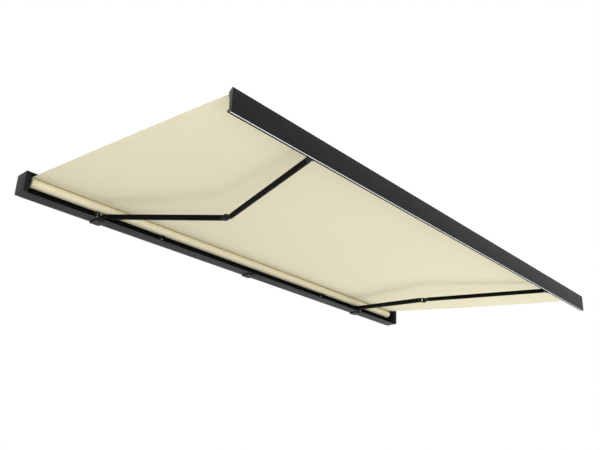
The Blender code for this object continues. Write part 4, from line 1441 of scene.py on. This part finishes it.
@dataclass
class ArmRest(Assembly):
    """Moulded guide in the tray that the folded arm comes to lie in, with its screw."""

    hand: Hand
    edge: float = 0.0016
    screw: SocketScrew = SocketScrew(0.0050, 0.0022, 0.0022, 0.0014)
    screw_at: Triple = (1.1225, -0.06675, 0.0455)

    def build(self) -> None:
        """Round the guide's edges and put its screw in front."""
        name = self.hand.label + "_arm_rest"
        self.settle(softened(name, self.edge, name + "_moulding", 3), BLACK_PLASTIC, "cassette", name)
        x, y, z = self.screw_at
        place = shifted_by(self.hand.sign * x, y, z) @ turned_by(math.pi / 2, Axis.X)
        self.screws(self.hand.label + "_rest_screw", self.screw, [place], "cassette")


@dataclass
class FrontBar(Assembly):
    """Front profile with its end caps, keder rod and the white strip below.

    Points of its section are (distance behind the face's middle, height above it). Its corners
    are hair-fine, crisp, fine, small or soft, in that order of radius.
    """

    sizes: Sizes = SIZES
    hair: float = 0.0001
    crisp: float = 0.0002
    fine: float = 0.0003
    small: float = 0.0005
    soft: float = 0.0008
    nose_round: float = 0.0012
    groove_round: float = 0.0006
    web_round: float = 0.0020
    half: float = 2.495
    top_depth: float = 0.0272
    top_drop: float = 0.025
    top_flat: float = 0.0020
    flange_nose: float = 0.0024
    bottom_depth: float = 0.0352
    bottom_rise: float = 0.009
    bottom_wall: float = 0.0032
    web_foot: float = 0.024
    keder_in: float = 0.0077
    keder_low: float = 0.008
    keder_r: float = 0.0032
    keder_clear: float = 0.0005
    keder_half: float = 2.4895
    keder_chamfer: float = 0.0006
    groove_arc: tuple[float, float] = (20.0, 340.0)
    groove_points: int = 16
    mouth_half: float = 0.0013
    mouth_wall: float = 0.0010
    web_wall: float = 0.0016
    strip_start: float = 0.0010
    strip_width: float = 0.0112
    strip_thick: float = 0.0032
    strip_dome: float = 0.0006
    strip_points: int = 15
    cap: float = 0.004
    cap_edge: float = 0.0007
    body: str = "front_bar"

    @property
    def up(self) -> float:
        """Half the bar's height."""
        return self.sizes.bar_height / 2

    @property
    def keder(self) -> Array:
        """Middle of the rear groove."""
        return np.array([self.top_depth - self.keder_in, self.up - self.top_drop - self.keder_low])

    def placed(self, points: Array) -> Array:
        """Section points moved to where the bar is."""
        return points + np.array([self.sizes.bar_face, self.sizes.bar_z])

    def underside(self) -> tuple[Array, Array, Array, Array]:
        """Line of the bar's underside.

        Returns:
            Lower front corner, lower rear corner, direction to the rear and inward normal.
        """
        low = np.array([self.sizes.bar_lean / 2, -self.up])
        tip = np.array([self.bottom_depth, self.bottom_rise - self.up])
        along = unit(tip - low)
        return low, tip, along, np.array([-along[1], along[0]])

    def outline(self, grooved: bool) -> Array:
        """Rounded section of the bar in (y, z).

        Args:
            grooved: whether it has its two grooves.

        Returns:
            The points of the outline, one row each.
        """
        lean = self.sizes.bar_lean / 2
        low, tip, along, inward = self.underside()
        flange = self.up - self.top_drop
        keder, groove = self.keder, self.keder_r + self.keder_clear
        mouth = keder[0] + groove + self.mouth_wall
        under, web = keder[1] - groove, self.sizes.bar_web
        rows = [(*low, self.small), (-lean, self.up, self.nose_round),
                (self.top_flat - lean, self.up, self.soft), (self.top_depth, flange, self.soft),
                (self.top_depth - self.top_flat, flange - self.flange_nose, self.small)]
        if grooved:
            turn = np.radians(np.linspace(*self.groove_arc, self.groove_points))
            arc = keder + groove * np.stack([np.cos(turn), np.sin(turn)], axis=1)
            rows.append((mouth, keder[1] + self.mouth_half, self.crisp))
            rows += [(y, z, self.hair) for y, z in arc]
            rows.append((mouth, keder[1] - self.mouth_half, self.crisp))
        rows += [(keder[0] + groove, under - self.mouth_wall, self.groove_round),
                 (web, under - self.web_wall, self.fine), (web, self.web_foot - self.up, self.web_round),
                 (tip[0], tip[1] + self.bottom_wall, self.soft), (*tip, self.soft)]
        if grooved:
            rear = low + along * (self.strip_start + self.strip_width)
            front = low + along * self.strip_start
            deep = inward * self.strip_thick
            rows += [(*corner, self.crisp) for corner in (rear, rear + deep, front + deep, front)]
        table = np.array(rows)
        return self.placed(filleted(table[:, :2], table[:, 2], 4))

    def strip(self) -> None:
        """White strip: a shallow dome across its width, from one seat edge to the other."""
        low, _, along, inward = self.underside()
        clear = self.sizes.gap
        across = self.strip_start + np.linspace(clear, self.strip_width - clear, self.strip_points)
        middle = self.strip_start + self.strip_width / 2
        bulge = self.strip_dome * (1 - ((across - middle) / (self.strip_width / 2)) ** 2)
        face = low + across[:, None] * along - bulge[:, None] * inward
        seat = low + across[[-1, 0], None] * along + (self.strip_thick - clear) * inward
        reach = self.half - self.cap - clear
        rings = stations(self.placed(np.concatenate([face, seat])), [-reach, reach], [0.0, 0.0])
        self.settle(loft("white_strip", rings), WHITE_PLASTIC, self.body, "light_strip")

    def keder_rod(self) -> None:
        """Round rod in the rear groove that holds the cloth, with chamfered ends."""
        y, z = self.placed(self.keder)
        place = shifted_by(0.0, y, z) @ turned_by(math.pi / 2, Axis.Y)
        r, reach, chamfer = self.keder_r, self.keder_half, self.keder_chamfer
        profile = np.array([[r - chamfer, -reach], [r, chamfer - reach], [r, reach - chamfer],
                            [r - chamfer, reach]])
        rod = loft("keder_rod", lathe(profile, place, 24))
        self.settle(rod, WHITE_PLASTIC, self.body, "front_keder")

    def build(self) -> None:
        """Make the profile, its strip, its keder rod and its two caps."""
        reach = self.half - self.cap - self.sizes.gap
        profile = stations(self.outline(True), [-reach, reach], [0.0, 0.0])
        self.settle(loft("front_extrusion", profile, sharp=30), BAR_COAT, self.body, "front_profile")
        self.strip()
        self.keder_rod()
        turn, edge = np.linspace(0, math.pi / 2, 4), self.cap_edge
        places = np.concatenate([[self.half - self.cap], self.half - edge + edge * np.sin(turn)])
        insets = np.concatenate([[0.0], edge * (1 - np.cos(turn))])
        for hand in Hand:
            rings = stations(self.outline(False), hand.sign * places, insets)
            name = hand.label + "_bar_cap"
            self.settle(loft(name + "_moulding", rings), CAP_PLASTIC, self.body, name)


@dataclass(frozen=True)
class Lamp:
    """Soft rectangular lamp that the camera doesn't see, with its power in watts."""

    name: str
    place: Triple
    size: tuple[float, float]
    power: float
    aim: Triple = (0.0, -1.2, 0.0)

    def hang(self) -> None:
        """Put the lamp into the scene, turned to its aim."""
        data = bpy.data.lights.new(self.name, "AREA")
        data.shape = "RECTANGLE"
        data.size, data.size_y = self.size
        data.energy = self.power
        lamp = bpy.data.objects.new(self.name, data)
        lamp.location = self.place
        lamp.rotation_euler = (Vector(self.aim) - Vector(self.place)).to_track_quat("-Z", "Y").to_euler()
        lamp.visible_camera = False
        lamp.visible_glossy = False
        bpy.context.scene.collection.objects.link(lamp)


@dataclass
class Studio:
    """Camera at the photograph's angle, plain floor, world and soft lamps."""

    place: Triple = (-4.61746, -4.90130, -2.26833)
    angles: Triple = (113.02176, -0.91265, -48.38319)
    lens: float = 41.4479
    sensor: float = 36.0
    clip: tuple[float, float] = (0.05, 100.0)
    floor_z: float = -9.5
    floor_reach: float = 30.0
    floor_tone: float = 0.86
    floor_roughness: float = 0.9
    floor_white: float = 0.6
    fill: float = 0.44
    lamps: tuple[Lamp, ...] = (
        Lamp("from_camera", (-6.2, -6.2, -3.1), (8.0, 6.0), 472.0),
        Lamp("from_front", (0.5, -9.0, -2.2), (9.0, 4.0), 95.0),
        Lamp("from_below", (1.6, -1.6, -4.6), (10.0, 9.0), 68.0),
        Lamp("from_right", (4.5, -1.2, -4.4), (7.0, 7.0), 198.0, (1.5, -1.0, 0.0)),
        Lamp("from_above", (-0.8, -1.0, 4.5), (9.0, 7.0), 260.0),
        Lamp("from_left", (-7.0, 0.4, -0.8), (3.0, 3.0), 60.0, (-2.5, -0.6, 0.0)),
    )

    def camera(self) -> None:
        """Camera below and in front of the left end."""
        data = bpy.data.cameras.new("camera")
        data.lens = self.lens
        data.sensor_width = self.sensor
        data.clip_start, data.clip_end = self.clip
        camera = bpy.data.objects.new("camera", data)
        camera.location = self.place
        camera.rotation_euler = [math.radians(angle) for angle in self.angles]
        bpy.context.scene.collection.objects.link(camera)
        bpy.context.scene.camera = camera

    def world(self) -> None:
        """White background for camera and mirror rays, a dimmer even fill for the rest."""
        world = bpy.data.worlds.new("studio")
        bpy.context.scene.world = world
        world.use_nodes = True
        graph = Graph(world.node_tree)
        rays = graph.add("ShaderNodeLightPath").outputs
        seen = graph.calc("MAXIMUM", rays["Is Camera Ray"], rays["Is Glossy Ray"])
        seen = graph.calc("MAXIMUM", seen, rays["Is Transmission Ray"])
        graph.feed(world.node_tree.nodes["Background"], {
            "Color": (1.0, 1.0, 1.0, 1.0), "Strength": graph.spread(seen, self.fill, 1.0)})

    def floor(self) -> None:
        """Pale floor far below the awning; its underside is clear, so it hides no view."""
        corners = np.array([[-1, -1], [1, -1], [1, 1], [-1, 1]]) * self.floor_reach
        floor = make_piece("floor", np.insert(corners, 2, self.floor_z, axis=1), [[0, 1, 2, 3]])
        material = bpy.data.materials.new("pale_floor")
        material.use_nodes = True
        graph, nodes = Graph(material.node_tree), material.node_tree.nodes
        shader = nodes["Principled BSDF"]
        tone = self.floor_tone
        graph.feed(shader, {"Base Color": (tone, tone, tone, 1.0), "Roughness": self.floor_roughness})
        rays = graph.add("ShaderNodeLightPath").outputs
        seen = graph.calc("MULTIPLY", rays["Is Camera Ray"], self.floor_white)
        for kind in ("Is Glossy Ray", "Is Transmission Ray"):
            seen = graph.calc("MAXIMUM", seen, rays[kind])
        white, clear = graph.add("ShaderNodeEmission"), graph.add("ShaderNodeBsdfTransparent")
        above = graph.add("ShaderNodeMixShader", {0: seen, 1: shader.outputs[0], 2: white.outputs[0]})
        side = graph.add("ShaderNodeNewGeometry").outputs["Backfacing"]
        both = graph.add("ShaderNodeMixShader", {0: side, 1: above.outputs[0], 2: clear.outputs[0]})
        graph.feed(nodes["Material Output"], {"Surface": both.outputs[0]})
        floor.data.materials.append(material)

    def build(self) -> None:
        """Set up everything that isn't the awning."""
        bpy.context.scene.view_settings.view_transform = "Standard"
        self.camera()
        self.world()
        self.floor()
        for lamp in self.lamps:
            lamp.hang()


def main() -> None:
    """Build the sub-assemblies from the wall outwards, then the studio."""
    logging.basicConfig(level=logging.INFO, format="%(name)s: %(message)s")
    Cassette().build()
    WallBrackets().build()
    Roller().build()
    CanvasSheet().build()
    for hand in Hand:
        FoldingArm(hand).build()
        ArmRest(hand).build()
    FrontBar().build()
    Studio().build()


if __name__ == "__main__":
    main()
